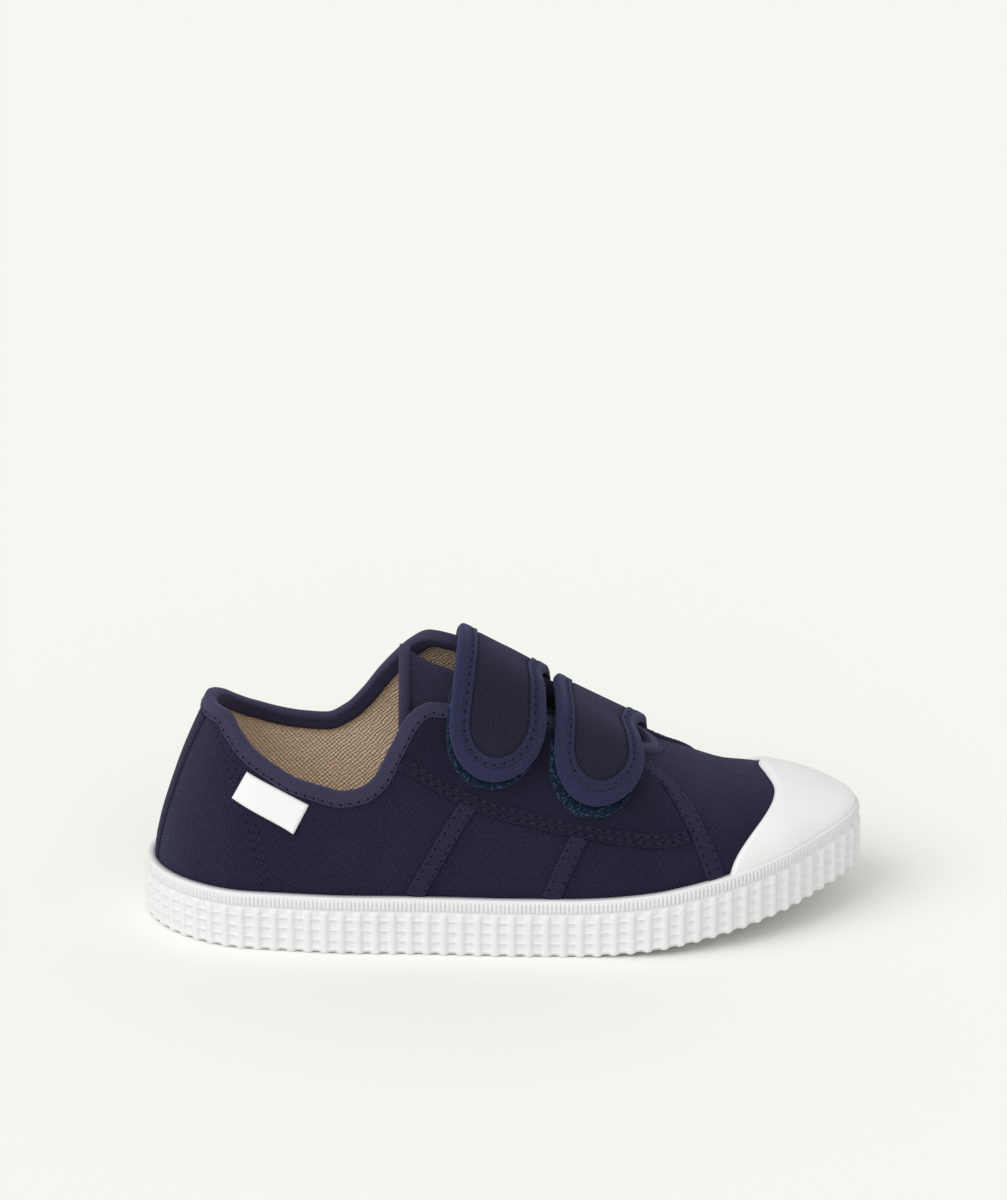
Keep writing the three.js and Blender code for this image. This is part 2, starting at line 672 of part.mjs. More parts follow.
// The rubber cap: columns run from the foxing round the toe up to the cap's curved edge
function makeToeCap() {
  const columns = 20;
  const rows = 6;
  const walker = planWalker(0);
  const endTurn = turnAt(CAP_EDGE[CAP_EDGE.length - 1].at * LENGTH);
  const from = walker.distanceTo(endTurn, LATERAL);
  const to = walker.distanceTo(endTurn, MEDIAL);
  const grid = (height) => {
    const lines = [];
    for (let i = 0; i <= columns; i++) {
      const across = mix(-1, 1, i / columns);
      const foot = walker.at(mix(from, to, i / columns));
      const footPoint = onWall(foot.turn, foot.side, 0, 0);
      const x = column(CAP_EDGE, "at", Math.abs(across), "down") * LENGTH;
      const target = lastPoint(turnAt(x), across * QUARTER);
      const line = [onWall(foot.turn, foot.side, FOXING_HEIGHT + FIT, height)];
      for (let j = 1; j <= rows; j++) {
        const t = easeIn(j, rows);
        const place = placeOver(mix(footPoint.x, x, t), mix(footPoint.y, target.y, t));
        const point = onLast(place.turn, place.angle, height);
        const floor = ground(point.x) + FOXING_HEIGHT + FIT;
        line.push(point.setZ(Math.max(point.z, floor)));
      }
      lines.push(line);
    }
    return lines;
  };
  const base = 1.7 * FIT;
  return slab("toe_cap", RUBBER, grid(base + CAP_THICKNESS), grid(base));
}

// The binding folded over the edge of the collar and throat
function makeBinding() {
  const body = new Body();
  const loop = openingLoop(OPEN_STATIONS);
  const [near, far] = [FIT, FIT + BINDING_THICKNESS];
  const inside = WALL + BINDING_SLACK;
  const sections = loop.map(({ turn, angle, point, normal, down }) => {
    const foot = walk(turn, angle, down, BINDING_WIDTH);
    const over = (out, up) => point.clone().addScaledVector(normal, out).addScaledVector(down, -up);
    return [
      onLast(foot.turn, foot.angle, far),
      over(far, far),
      over(-inside - BINDING_THICKNESS, far),
      onLast(foot.turn, foot.angle, -inside - BINDING_THICKNESS),
      onLast(foot.turn, foot.angle, -inside),
      over(-inside, near),
      over(near, near),
      onLast(foot.turn, foot.angle, near),
    ];
  });
  sections.forEach((section, i) => {
    const next = sections[(i + 1) % sections.length];
    section.forEach((corner, j) => {
      const k = (j + 1) % section.length;
      body.quad(corner, next[j], next[k], section[k]);
    });
  });
  return body.mesh("collar_binding", TRIM_NAVY);
}

// A panel of the upper's second layer, with its hem a step higher along the lower edge
function makeFacing(side) {
  const top = belowEdge(BINDING_WIDTH + 1.5 * FIT, side);
  const hem = (x) => side * column(FACING_HEM, "down", x / LENGTH) * QUARTER;
  const smallStep = 0.25;
  let start = FACING_HEM[0].at * LENGTH;
  while (Math.abs(top(start)) > Math.abs(hem(start)) - NUDGE) start += smallStep;
  const slant = 1.45;
  const seamGap = slant * (TAPE_WIDTH / 2 + FIT);
  const seamAt = (down) => column(VAMP_SEAM, "at", down, "down") * LENGTH - seamGap;
  const columns = 14;
  const rows = 4;
  const [stepDown, firstRow] = [0.03, 0.1];
  const angleAt = (x, v) => (Math.abs(hem(x)) > Math.abs(top(x)) ? mix(hem(x), top(x), v) : hem(x));
  // The place on the panel, which ends in front at the vamp's slanting seam
  const placeAt = (u, v) => {
    const [tries, settle] = [12, 0.6];
    let end = seamAt(0.5);
    for (let i = 0; i < tries; i++) end = mix(end, seamAt(Math.abs(angleAt(end, v)) / QUARTER), settle);
    const x = mix(start, end, u);
    return { turn: turnAt(x), angle: angleAt(x, v) };
  };
  const grid = (height, hemRise) => {
    const lines = [];
    for (let i = 0; i <= columns; i++) {
      const u = i / columns;
      const foot = placeAt(u, 0);
      const head = placeAt(u, 1);
      const reach = lastPoint(foot.turn, foot.angle).distanceTo(lastPoint(head.turn, head.angle));
      const band = Math.min(HEM_WIDTH / Math.max(reach, NUDGE), 1);
      const rise = band < 1 ? hemRise : 0;
      const line = [onLast(foot.turn, foot.angle, height + rise)];
      const hemTop = placeAt(u, band);
      line.push(onLast(hemTop.turn, hemTop.angle, height + rise));
      for (let j = 0; j <= rows; j++) {
        const place = placeAt(u, mix(Math.min(band + (firstRow * j) / rows + stepDown, 1), 1, j / rows));
        line.push(onLast(place.turn, place.angle, height));
      }
      lines.push(side === LATERAL ? line : line.reverse());
    }
    return lines;
  };
  const name = side === LATERAL ? "facing_lateral" : "facing_medial";
  return slab(name, NAVY, grid(FIT + PANEL_THICKNESS, HEM_RISE), grid(FIT, 0));
}

// A narrow strip of even width along a line of places on the last
function strip(name, look, places, width, thickness) {
  const at = (height) =>
    places.map((place, i) => {
      const ahead = places[Math.min(i + 1, places.length - 1)];
      const behind = places[Math.max(i - 1, 0)];
      const along = lastPoint(ahead.turn, ahead.angle).sub(lastPoint(behind.turn, behind.angle));
      const { normal } = tangents(place.turn, place.angle);
      const across = normal.clone().cross(along).normalize();
      return [-1, 1].map((end) => {
        const edge = walk(place.turn, place.angle, across, (end * width) / 2);
        return onLast(edge.turn, edge.angle, height);
      });
    });
  return slab(name, look, at(FIT + thickness), at(FIT));
}

// The share of a quarter turn that clears the foxing's edge
const FOOT_SHARE = 1 - 0.0179;

function makeSideTape({ name, top, foot }, side) {
  const steps = 6;
  const places = [];
  const hem = column(FACING_HEM, "down", top) + (HEM_WIDTH / 3 + FIT) / SIDE_ARC;
  for (let i = 0; i <= steps; i++) {
    const down = mix(FOOT_SHARE, hem, i / steps);
    places.push({ turn: turnAt(mix(foot, top, i / steps) * LENGTH), angle: side * down * QUARTER });
  }
  const sideName = side === LATERAL ? "lateral" : "medial";
  return strip(`side_tape_${name}_${sideName}`, TRIM_NAVY, places, TAPE_WIDTH, TAPE_THICKNESS);
}

function makeVampTape(side) {
  const steps = 12;
  const places = [];
  const clear = belowEdge(BINDING_WIDTH + FIT + TAPE_WIDTH / 3, side);
  for (let i = 0; i <= steps; i++) {
    const down = mix(FOOT_SHARE, SEAM_START, i / steps);
    const x = column(VAMP_SEAM, "at", down, "down") * LENGTH;
    if (down * QUARTER < Math.abs(clear(x))) break;
    places.push({ turn: turnAt(x), angle: side * down * QUARTER });
  }
  const name = side === LATERAL ? "vamp_tape_lateral" : "vamp_tape_medial";
  return strip(name, TRIM_NAVY, places, TAPE_WIDTH, TAPE_THICKNESS);
}

// The strip over the back seam, from the foxing to the binding
function makeBackstay() {
  const steps = 8;
  const across = 4;
  const clear = {};
  for (const side of [LATERAL, MEDIAL]) clear[side] = belowEdge(BINDING_WIDTH + FIT, side);
  const outwards = (side) => new THREE.Vector3(0, side, 0);
  const beside = (side, down, offset) => walk(0, side * down, outwards(side), Math.abs(offset));
  const grid = (height) => {
    const lines = [];
    for (let i = 0; i <= steps; i++) {
      const line = [];
      for (let j = 0; j <= across; j++) {
        const offset = mix(1, -1, j / across) * (BACKSTAY_WIDTH / 2);
        const side = offset < 0 ? LATERAL : MEDIAL;
        let top = Math.abs(clear[side](BACK));
        for (let k = 0; k < 3; k++) top = Math.abs(clear[side](stationAt(beside(side, top, offset).turn)));
        const place = beside(side, mix(top, FOOT_SHARE * QUARTER, i / steps), offset);
        line.push(onLast(place.turn, place.angle, height));
      }
      lines.push(line);
    }
    return lines;
  };
  return slab("backstay", NAVY, grid(FIT + PANEL_THICKNESS), grid(FIT));
}

// The plain white label on the outer side of the heel
function makeLabel() {
  const [columns, rows] = [5, 2];
  const [topBack, topFront, lowBack, lowFront] = LABEL;
  const grid = (height) =>
    Array.from({ length: columns + 1 }, (_, i) =>
      Array.from({ length: rows + 1 }, (_, j) => {
        const [u, v] = [i / columns, j / rows];
        const at = mix(mix(lowBack.at, lowFront.at, u), mix(topBack.at, topFront.at, u), v);
        const down = mix(mix(lowBack.down, lowFront.down, u), mix(topBack.down, topFront.down, u), v);
        return onLast(turnAt(at * LENGTH), -down * QUARTER, height);
      }),
    );
  return slab("label", WHITE_TAPE, grid(FIT + LABEL_THICKNESS), grid(FIT));
}

// The tongue hangs under the throat and is tucked under the vamp in front
function makeTongue() {
  const steps = 14;
  const across = 6;
  const from = TONGUE_DROP[0].at * LENGTH;
  const to = TONGUE_DROP[TONGUE_DROP.length - 1].at * LENGTH;
  const stations = [from, from + TONGUE_HEM - HEM_STEP, from + TONGUE_HEM];
  for (let i = 1; i <= steps; i++) stations.push(mix(from + TONGUE_HEM, to, i / steps));
  const grid = (depth, hem) =>
    stations.map((x, i) => {
      const drop = column(TONGUE_DROP, "drop", x / LENGTH) + depth - (i < 2 ? hem : 0);
      return Array.from({ length: across + 1 }, (_, j) => {
        const offset = mix(-1, 1, j / across) * (TONGUE_WIDTH / 2);
        const side = offset < 0 ? LATERAL : MEDIAL;
        const wide = Math.asin(share(Math.abs(offset) / (plan(x, side).half - drop)));
        const reach = Math.min(wide, (TONGUE_REACH * QUARTER * Math.abs(offset)) / (TONGUE_WIDTH / 2));
        const { centre } = plan(x, side);
        const ridge = onLast(turnAt(x), 0, -drop);
        const edge = onLast(turnAt(x), side * reach, -drop);
        return new THREE.Vector3(ridge.x, offset === 0 ? centre : edge.y, edge.z);
      });
    });
  return slab("tongue", NAVY, grid(0, TONGUE_HEM_RISE), grid(TONGUE_THICKNESS, 0));
}

// The middle line of a strap as evenly spaced places, from the sewn end to the rounded end
function strapLine(strap, lateralReach, medialReach) {
  const steps = 60;
  const places = [];
  for (let i = 0; i <= steps; i++) {
    const down = mix(medialReach, -lateralReach, i / steps);
    const bow = down < 0 ? [strap.end, strap.lateralReach] : [strap.sewn, strap.medialReach];
    const at = mix(strap.ridge, bow[0], Math.abs(down) / bow[1]);
    places.push({ turn: turnAt(at * LENGTH), angle: down * QUARTER });
  }
  const points = places.map((p) => lastPoint(p.turn, p.angle));
  const lengths = [0];
  for (let i = 1; i <= steps; i++) lengths.push(lengths[i - 1] + points[i].distanceTo(points[i - 1]));
  const total = lengths[steps];
  const at = (distance) => {
    let i = 0;
    while (i < steps - 1 && distance > lengths[i + 1]) i++;
    const t = (distance - lengths[i]) / (lengths[i + 1] - lengths[i]);
    return {
      turn: mix(places[i].turn, places[i + 1].turn, t),
      angle: mix(places[i].angle, places[i + 1].angle, t),
      along: points[i + 1].clone().sub(points[i]),
    };
  };
  return { total, at };
}

// A place beside the middle line, and the half width left at a distance from the rounded end
function besideLine({ turn, angle, along }, offset) {
  const across = tangents(turn, angle).normal.cross(along).normalize();
  return walk(turn, angle, across, offset);
}
function halfWidthLeft(half, left) {
  return half * roundOff(left, END_LENGTH * half, 2);
}

// Height of a strap's underside: over the inner facing, a little sunk between the throat's edges,
// then higher over the looped pad
const OVER_FACING = FIT + PANEL_THICKNESS + 2 * FIT;
const STRAP_SAG = 0.3;
const SAG_REACH = 0.17;
const PAD_RISE_REACH = 0.25;
function strapRise(down) {
  const sag = STRAP_SAG * (1 - share(Math.abs(down) / SAG_REACH) ** 2);
  return OVER_FACING - sag + share(-down / PAD_RISE_REACH) * (PAD_THICKNESS + FIT);
}

// A strap with a raised border, closed along its flat sewn end
function makeStrap(strap) {
  const half = STRAP_WIDTH / 2;
  const line = strapLine(strap, strap.lateralReach, strap.medialReach);
  const straight = line.total - END_LENGTH * half;
  const distances = [];
  const steps = 14;
  for (let i = 0; i <= steps; i++) distances.push((straight * i) / steps);
  const inner = line.total - STRAP_BORDER;
  for (const t of [0.3, 0.55, 0.8, 1]) distances.push(mix(straight, inner, t));
  for (const t of [0.45, 0.75, 0.93, 1]) distances.push(mix(inner, line.total, t));
  const body = new Body();
  const pointAt = (distance, offset, rise) => {
    const place = line.at(distance);
    const edge = besideLine(place, offset);
    return onLast(edge.turn, edge.angle, strapRise(place.angle / QUARTER) + rise);
  };
  const high = STRAP_THICKNESS + BORDER_RISE;
  const tops = distances.map((distance) => {
    const outer = halfWidthLeft(half, line.total - distance);
    const hole = halfWidthLeft(half - STRAP_BORDER, inner - distance);
    const low = hole > 0 ? STRAP_THICKNESS : high;
    const step = Math.min(HEM_STEP, hole);
    return [
      [-outer, high],
      [-mix(hole, outer, 0.5), high],
      [-hole, high],
      [step - hole, low],
      [0, low],
      [hole - step, low],
      [hole, high],
      [mix(hole, outer, 0.5), high],
      [outer, high],
    ].map(([offset, rise]) => pointAt(distance, offset, rise));
  });
  const bottoms = distances.map((distance) => {
    const outer = halfWidthLeft(half, line.total - distance);
    return [-outer, -outer / 2, 0, outer / 2, outer].map((offset) => pointAt(distance, offset, 0));
  });
  const [across, under] = [tops[0].length - 1, bottoms[0].length - 1];
  for (let i = 0; i < distances.length - 1; i++) {
    for (let j = 0; j < across; j++) {
      body.quad(tops[i][j], tops[i + 1][j], tops[i + 1][j + 1], tops[i][j + 1]);
    }
    for (let j = 0; j < under; j++) {
      body.quad(bottoms[i][j], bottoms[i][j + 1], bottoms[i + 1][j + 1], bottoms[i + 1][j]);
    }
    body.quad(bottoms[i][0], bottoms[i + 1][0], tops[i + 1][0], tops[i][0]);
    body.quad(tops[i][across], tops[i + 1][across], bottoms[i + 1][under], bottoms[i][under]);
  }
  const middle = under / 2;
  body.fan([bottoms[0][middle], ...bottoms[0].slice(0, middle).reverse(), ...tops[0]]);
  body.fan([bottoms[0][middle], tops[0][across], ...bottoms[0].slice(middle + 1).reverse()]);
  const tip = distances.length - 1;
  body.quad(tops[tip][0], bottoms[tip][0], bottoms[tip][under], tops[tip][across]);
  return body.mesh(`strap_${strap.name}`, TRIM_NAVY);
}

// The looped pad on the facing under a strap's rounded end, set a little back from it
function makePad(strap) {
  const half = STRAP_WIDTH / 2;
  const reach = strap.lateralReach + PAD_REACH / (plan(strap.end * LENGTH, LATERAL).half * QUARTER);
  const shifted = { ...strap, end: strap.end - PAD_SHIFT / LENGTH, ridge: strap.ridge - PAD_SHIFT / LENGTH };
  const line = strapLine(shifted, reach, -PAD_START);
  const straight = line.total - END_LENGTH * half;
  const distances = [];
  for (let i = 0; i <= 3; i++) distances.push((straight * i) / 3);
  for (const t of [0.3, 0.55, 0.75, 0.9, 0.98]) distances.push(mix(straight, line.total, t));
  const base = FIT + PANEL_THICKNESS + FIT;
  const grid = (height) =>
    distances.map((distance) => {
      const outer = halfWidthLeft(half, line.total - distance);
      return [-1, -0.5, 0, 0.5, 1].map((t) => {
        const edge = besideLine(line.at(distance), t * outer);
        return onLast(edge.turn, edge.angle, height);
      });
    });
  return slab(`pad_${strap.name}`, PAD_BLUE, grid(base + PAD_THICKNESS), grid(base));
}

// The whole shoe, with the middle of the heel seat at the origin
const shoe = new THREE.Group();
shoe.name = "canvas_sneaker";
shoe.add(makeUpper(), makeFoxing(), makeOutsole(), makeInsole(), makeToeCap(), makeTongue());
shoe.add(makeBinding(), makeBackstay(), makeLabel());
for (const side of [LATERAL, MEDIAL]) {
  shoe.add(makeFacing(side), makeVampTape(side));
  for (const tape of SIDE_TAPES) shoe.add(makeSideTape(tape, side));
}
for (const strap of STRAPS) shoe.add(makeStrap(strap), makePad(strap));
shoe.position.x = -HEEL_REST;
shoe.updateMatrixWorld(true);

export default shoe;
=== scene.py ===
"""Looks of a child's navy canvas sneaker with two touch-fastening straps, for the right foot."""
import math

import bmesh
import bpy
import numpy as np
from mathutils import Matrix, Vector


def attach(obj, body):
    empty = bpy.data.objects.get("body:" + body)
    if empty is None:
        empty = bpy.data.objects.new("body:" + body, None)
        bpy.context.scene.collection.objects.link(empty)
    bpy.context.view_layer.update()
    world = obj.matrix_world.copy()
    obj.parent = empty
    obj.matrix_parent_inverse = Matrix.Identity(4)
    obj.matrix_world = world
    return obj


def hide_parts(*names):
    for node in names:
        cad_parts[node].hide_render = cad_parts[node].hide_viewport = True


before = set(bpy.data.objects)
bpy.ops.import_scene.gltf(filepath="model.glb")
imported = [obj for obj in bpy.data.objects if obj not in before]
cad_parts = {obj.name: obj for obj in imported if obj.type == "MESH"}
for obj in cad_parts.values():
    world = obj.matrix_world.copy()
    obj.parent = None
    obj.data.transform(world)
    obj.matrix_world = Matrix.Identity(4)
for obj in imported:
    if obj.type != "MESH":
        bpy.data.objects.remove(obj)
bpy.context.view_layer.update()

# Sizes of the shoe in millimetres, with +X to the toe, +Y to the inner side and +Z up
LENGTH = 190
HEEL_WIDTH = 53
BALL_WIDTH = 70
INSTEP_HEIGHT = 80
HEEL_HEIGHT = 62
TOE_HEIGHT = 36
HEEL_LEAN = 15.8
FIT = 0.3
SOLE_THICKNESS = 4
FOXING_HEIGHT = 15.7
FOXING_THICKNESS = 1.9
RIB_PITCH = 4.46
RIB_WIDTH = 1.9
RIB_DEPTH = 0.8
RIB_TOP_DROP = 3.8
BAND_DROP = 0.9
BAND_HEIGHT = 2.6
BAND_DEPTH = 0.3
TOE_SPRING = 12
WALL = 1.4
HEEL_ROUND = 26
TOE_ROUND = 66
CROWN_ROUND = 23
THROAT_ROUND = 12
INSOLE_THICKNESS = 3
CAP_THICKNESS = 1
BINDING_WIDTH = 3.4
BINDING_THICKNESS = 0.6
PANEL_THICKNESS = 0.5
KNURLS_PER_RIB = 4
KNURL_SHAPE = ((0.0, 1.0), (0.3, 0.8), (0.5, -1.0), (0.7, 0.8))
FOXING_LINES = (1.1, 3.7, 6.6, 9.5)
HEM_WIDTH = 3.6
HEM_RISE = 0.35
TAPE_WIDTH = 4.5
TAPE_LIFT = 0.85
BACKSTAY_WIDTH = 13
BACKSTAY_LIFT = 0.36
LABEL_THICKNESS = 0.6
LINING_FRONT = 0.47
TONGUE_WIDTH = 36
TONGUE_REACH = 0.56
TONGUE_THICKNESS = 2
STRAP_WIDTH = 25
STRAP_THICKNESS = 1.9
STRAP_BORDER = 4.8
END_LENGTH = 1.2
BORDER_RISE = 0.5
PAD_SHIFT = 0.9
PAD_REACH = {"rear": 1.7, "front": 3.0}
PAD_INSET = 0.6
PAD_THICKNESS = 1
PAD_START = 0.3
HEEL_BEND = 2.05
CROWN_BEND = 2.2
SPRING_START = 0.59
SPRING_BEND = 1.55
LEAN_BEND = 1.45
LEAN_FADE = 0.395
LEAN_FADE_BEND = 1.5
THROAT_END = 0.704
HEEL_REST = 0.137 * LENGTH

LATERAL = -1
MEDIAL = 1
SIDE_NAMES = {LATERAL: "lateral", MEDIAL: "medial"}
QUARTER = math.pi / 2
BACK = FOXING_THICKNESS + RIB_DEPTH + FIT
FRONT = LENGTH - BACK
THROAT_FRONT = THROAT_END * LENGTH
NUDGE = 1e-3
SIDE_ARC = 0.62 * BALL_WIDTH * QUARTER
UNDERSIDE = 0.02
rng = np.random.default_rng(7)


# Tables of the last, each a dict of named columns
def table(names, rows):
    return {name: np.array(values, float) for name, values in zip(names.split(), zip(*rows))}


FOOTPRINT = table("at centre lateral medial", [
    (at, centre, lateral * width, medial * width)
    for width, rows in (
        (HEEL_WIDTH, ((0.0, 0.0, 0.415, 0.415), (0.08, 0.0, 0.457, 0.46), (0.14, 0.0, 0.494, 0.49))),
        (BALL_WIDTH, (
            (0.2, 0.0, 0.396, 0.369), (0.28, 0.0, 0.42, 0.364), (0.36, 0.003, 0.428, 0.369),
            (0.43, 0.008, 0.442, 0.38), (0.5, 0.015, 0.461, 0.407), (0.58, 0.026, 0.476, 0.442),
            (0.66, 0.04, 0.497, 0.47), (0.73, 0.056, 0.514, 0.467), (0.8, 0.074, 0.514, 0.452),
            (0.88, 0.092, 0.492, 0.432), (0.94, 0.105, 0.439, 0.403), (1.0, 0.102, 0.385, 0.37),
        )),
    )
    for at, centre, lateral, medial in rows
])
RIDGE = table("at crown", [
    (at, crown * height)
    for height, rows in (
        (HEEL_HEIGHT, ((0.0, 1.194), (0.08, 1.23), (0.14, 1.255))),
        (INSTEP_HEIGHT, (
            (0.2, 0.988), (0.28, 1.0), (0.36, 1.0), (0.43, 0.95), (0.5, 0.855), (0.58, 0.735), (0.66, 0.617),
        )),
        (TOE_HEIGHT, ((0.73, 1.155), (0.8, 1.018), (0.88, 0.945), (0.94, 0.9), (1.0, 0.82))),
    )
    for at, crown in rows
])
BENDS = table("at side crown", [
    (0.0, 2.0, 2.0), (0.5, 2.0, 2.0), (0.7, 2.15, 2.0), (0.85, 2.3, 2.1), (1.0, 2.4, 2.1),
])
OPENING = table("at lateral medial", [
    (0.016, 0.462, 0.462), (0.05, 0.476, 0.525), (0.08, 0.53, 0.58), (0.115, 0.59, 0.63),
    (0.155, 0.64, 0.666), (0.2, 0.687, 0.688), (0.24, 0.709, 0.696), (0.27, 0.722, 0.665),
    (0.295, 0.715, 0.605), (0.32, 0.683, 0.52), (0.345, 0.588, 0.44), (0.37, 0.489, 0.36),
    (0.4, 0.43, 0.262), (0.43, 0.41, 0.23), (0.48, 0.34, 0.22), (0.54, 0.265, 0.205),
    (0.6, 0.22, 0.19), (0.66, 0.13, 0.18), (0.72, 0.04, 0.175),
])
FACING_HEM = table("at down", [
    (0.355, 0.655), (0.39, 0.683), (0.443, 0.724), (0.512, 0.744), (0.588, 0.743),
    (0.658, 0.735), (0.7, 0.728), (0.736, 0.705), (0.76, 0.67),
])
VAMP_SEAM = table("down at", [
    (0.0, 0.68), (0.2, 0.69), (0.24, 0.702), (0.262, 0.717), (0.306, 0.729), (0.4, 0.743),
    (0.507, 0.756), (0.612, 0.766), (0.734, 0.776), (0.919, 0.786), (1.0, 0.79),
])
CAP_EDGE = table("down at", [
    (0.0, 0.866), (0.15, 0.8665), (0.33, 0.867), (0.478, 0.86), (0.618, 0.845), (0.751, 0.829),
    (0.866, 0.817), (1.0, 0.809),
])
TONGUE_DROP = table("at drop", [
    (at, drop * INSTEP_HEIGHT)
    for at, drop in (
        (0.348, 0.081), (0.43, 0.108), (0.5, 0.098), (0.58, 0.075), (0.66, 0.05), (0.71, 0.037),
        (0.79, 0.037),
    )
])

# Skew of the cap's edge near the ridge: millimetres for a quarter turn, and its reach down the side
CAP_SKEW = 17.0
CAP_SKEW_REACH = 0.25

# Corners of the label as share of the length and of a quarter turn down: top, then low, back first
LABEL_CORNERS = ((0.121, 0.66), (0.225, 0.754), (0.108, 0.742), (0.208, 0.834))

# Upper end of the vamp tapes, then the upper and lower end of the side tapes
SEAM_START = 0.215
SIDE_TAPES = {"rear": (0.453, 0.379), "front": (0.604, 0.565)}

# Places of the straps: along the length at the outer end, ridge and sewn end; reach down each side
STRAPS = {
    "rear": {"end": 0.488, "ridge": 0.49, "sewn": 0.501, "lateral": 0.622, "medial": 0.62},
    "front": {"end": 0.628, "ridge": 0.6193, "sewn": 0.6375, "lateral": 0.59, "medial": 0.56},
}

# Soft creases of the cloth: two ends as share of the length and share of a quarter turn down
# (negative on the outer side), half width and depth in millimetres, a ridge where depth is below 0
CREASES = [
    ((0.02, -0.78), (0.12, -0.9), 5.0, 0.35),
    ((0.1, -0.95), (0.2, -0.86), 4.0, -0.3),
    ((0.28, -0.8), (0.36, -0.93), 5.0, 0.4),
    ((0.36, -0.74), (0.33, -0.6), 4.0, 0.35),
    ((0.47, -0.84), (0.55, -0.92), 4.5, 0.3),
    ((0.62, -0.9), (0.72, -0.84), 4.0, 0.3),
    ((0.8, -0.2), (0.83, -0.62), 4.5, 0.5),
    ((0.77, -0.1), (0.79, -0.5), 3.5, -0.35),
    ((0.8, 0.2), (0.82, 0.6), 4.5, 0.5),
    ((0.02, 0.78), (0.12, 0.9), 5.0, 0.35),
    ((0.3, 0.8), (0.37, 0.93), 5.0, 0.4),
    ((0.47, 0.84), (0.56, 0.92), 4.5, 0.35),
    ((0.62, 0.9), (0.72, 0.85), 4.0, 0.3),
]


# A value kept between 0 and 1
def share(value):
    return np.clip(value, 0.0, 1.0)


def mix(a, b, t):
    return a + (b - a) * t


# A smooth curve through one column of a table that never overshoots its rows
def column(tab, name, at, key="at"):
    xs, ys = tab[key], tab[name]
    grade = np.diff(ys) / np.diff(xs)
    slope = np.empty(len(xs))
    slope[0], slope[-1] = grade[0], grade[-1]
    product = grade[:-1] * grade[1:]
    total = np.where(product > 0, grade[:-1] + grade[1:], 1.0)
    slope[1:-1] = np.where(product > 0, 2 * product / total, 0.0)
    x = np.clip(at, xs[0], xs[-1])
    row = np.clip(np.searchsorted(xs, x, side="left") - 1, 0, len(xs) - 2)
    span = xs[row + 1] - xs[row]
    t = (x - xs[row]) / span
    return (
        (2 * t**3 - 3 * t**2 + 1) * ys[row]
        + (t**3 - 2 * t**2 + t) * span * slope[row]
        + (3 * t**2 - 2 * t**3) * ys[row + 1]
        + (t**3 - t**2) * span * slope[row + 1]
    )


# Falls from 1 to 0 over a radius near an end, fuller with a higher bend
def round_off(distance, radius, bend):
    return (1 - share(1 - distance / radius) ** bend) ** (1 / bend)


# Height of the sole over the floor: flat, then the toe spring
def ground(x):
    t = share((x / LENGTH - SPRING_START) / (1 - SPRING_START))
    return TOE_SPRING * t**SPRING_BEND


# The last's lengthwise parameter: 0 at the back seam and 1 at the toe
def turn_at(x):
    return np.arccos(np.clip(1 - 2 * (np.asarray(x, float) - BACK) / (FRONT - BACK), -1, 1)) / math.pi


def station_at(turn):
    return BACK + (FRONT - BACK) * (1 - np.cos(math.pi * turn)) / 2


# Middle line and half width of the last at the foxing line
def plan(x, side):
    ends = round_off(x - BACK, HEEL_ROUND, HEEL_BEND) * round_off(FRONT - x, TOE_ROUND, 2)
    centre = column(FOOTPRINT, "centre", x / LENGTH) * BALL_WIDTH
    lateral = column(FOOTPRINT, "lateral", x / LENGTH)
    medial = column(FOOTPRINT, "medial", x / LENGTH)
    return centre, np.where(side < 0, lateral, medial) * ends


# How far the heel leans forward at a height
def lean(x, z):
    up = np.maximum((z - FOXING_HEIGHT) / (HEEL_HEIGHT - FOXING_HEIGHT), 0)
    fade = share(1 - (x - BACK) / (LEAN_FADE * LENGTH))
    return HEEL_LEAN * up**LEAN_BEND * fade**LEAN_FADE_BEND


# A point of the last: the angle is 0 on the ridge and a quarter turn at the foxing line
def last_point(turn, angle):
    turn, angle = np.broadcast_arrays(np.asarray(turn, float), np.asarray(angle, float))
    x = station_at(turn)
    side = np.where(angle < 0, LATERAL, MEDIAL)
    centre, half = plan(x, side)
    side_bend = column(BENDS, "side", x / LENGTH)
    crown_bend = column(BENDS, "crown", x / LENGTH)
    foot = ground(x) + FOXING_HEIGHT
    rise = (column(RIDGE, "crown", x / LENGTH) - foot) * round_off(FRONT - x, CROWN_ROUND, CROWN_BEND)
    y = centre + side * half * np.abs(np.sin(angle)) ** (2 / side_bend)
    z = foot + rise * np.abs(np.cos(angle)) ** (2 / crown_bend)
    return np.stack([x + lean(x, z), y, z], -1)


def unit(vectors):
    return vectors / np.maximum(np.linalg.norm(vectors, axis=-1, keepdims=True), 1e-12)


# Directions along the last's two parameters, and the outward normal
def tangents(turn, angle):
    turn, angle = np.broadcast_arrays(np.asarray(turn, float), np.asarray(angle, float))
    ahead = np.minimum(turn + NUDGE, 1)
    seam = turn < NUDGE
    before = last_point(np.where(seam, NUDGE - turn, turn - NUDGE), np.where(seam, -angle, angle))
    lengthwise = (last_point(ahead, angle) - before) / (ahead - (turn - NUDGE))[..., None]
    high = np.minimum(angle + NUDGE, QUARTER)
    low = np.maximum(angle - NUDGE, -QUARTER)
    around = (last_point(turn, high) - last_point(turn, low)) / (high - low)[..., None]
    tip = (turn > 1 - NUDGE / 2)[..., None]
    lengthwise = np.where(tip, np.array([0.0, 1.0, 0.0]), lengthwise)
    around = np.where(tip, np.array([0.0, 0.0, 1.0]), around)
    normal = np.where(tip, np.array([1.0, 0.0, 0.0]), unit(np.cross(lengthwise, around)))
    return lengthwise, around, normal


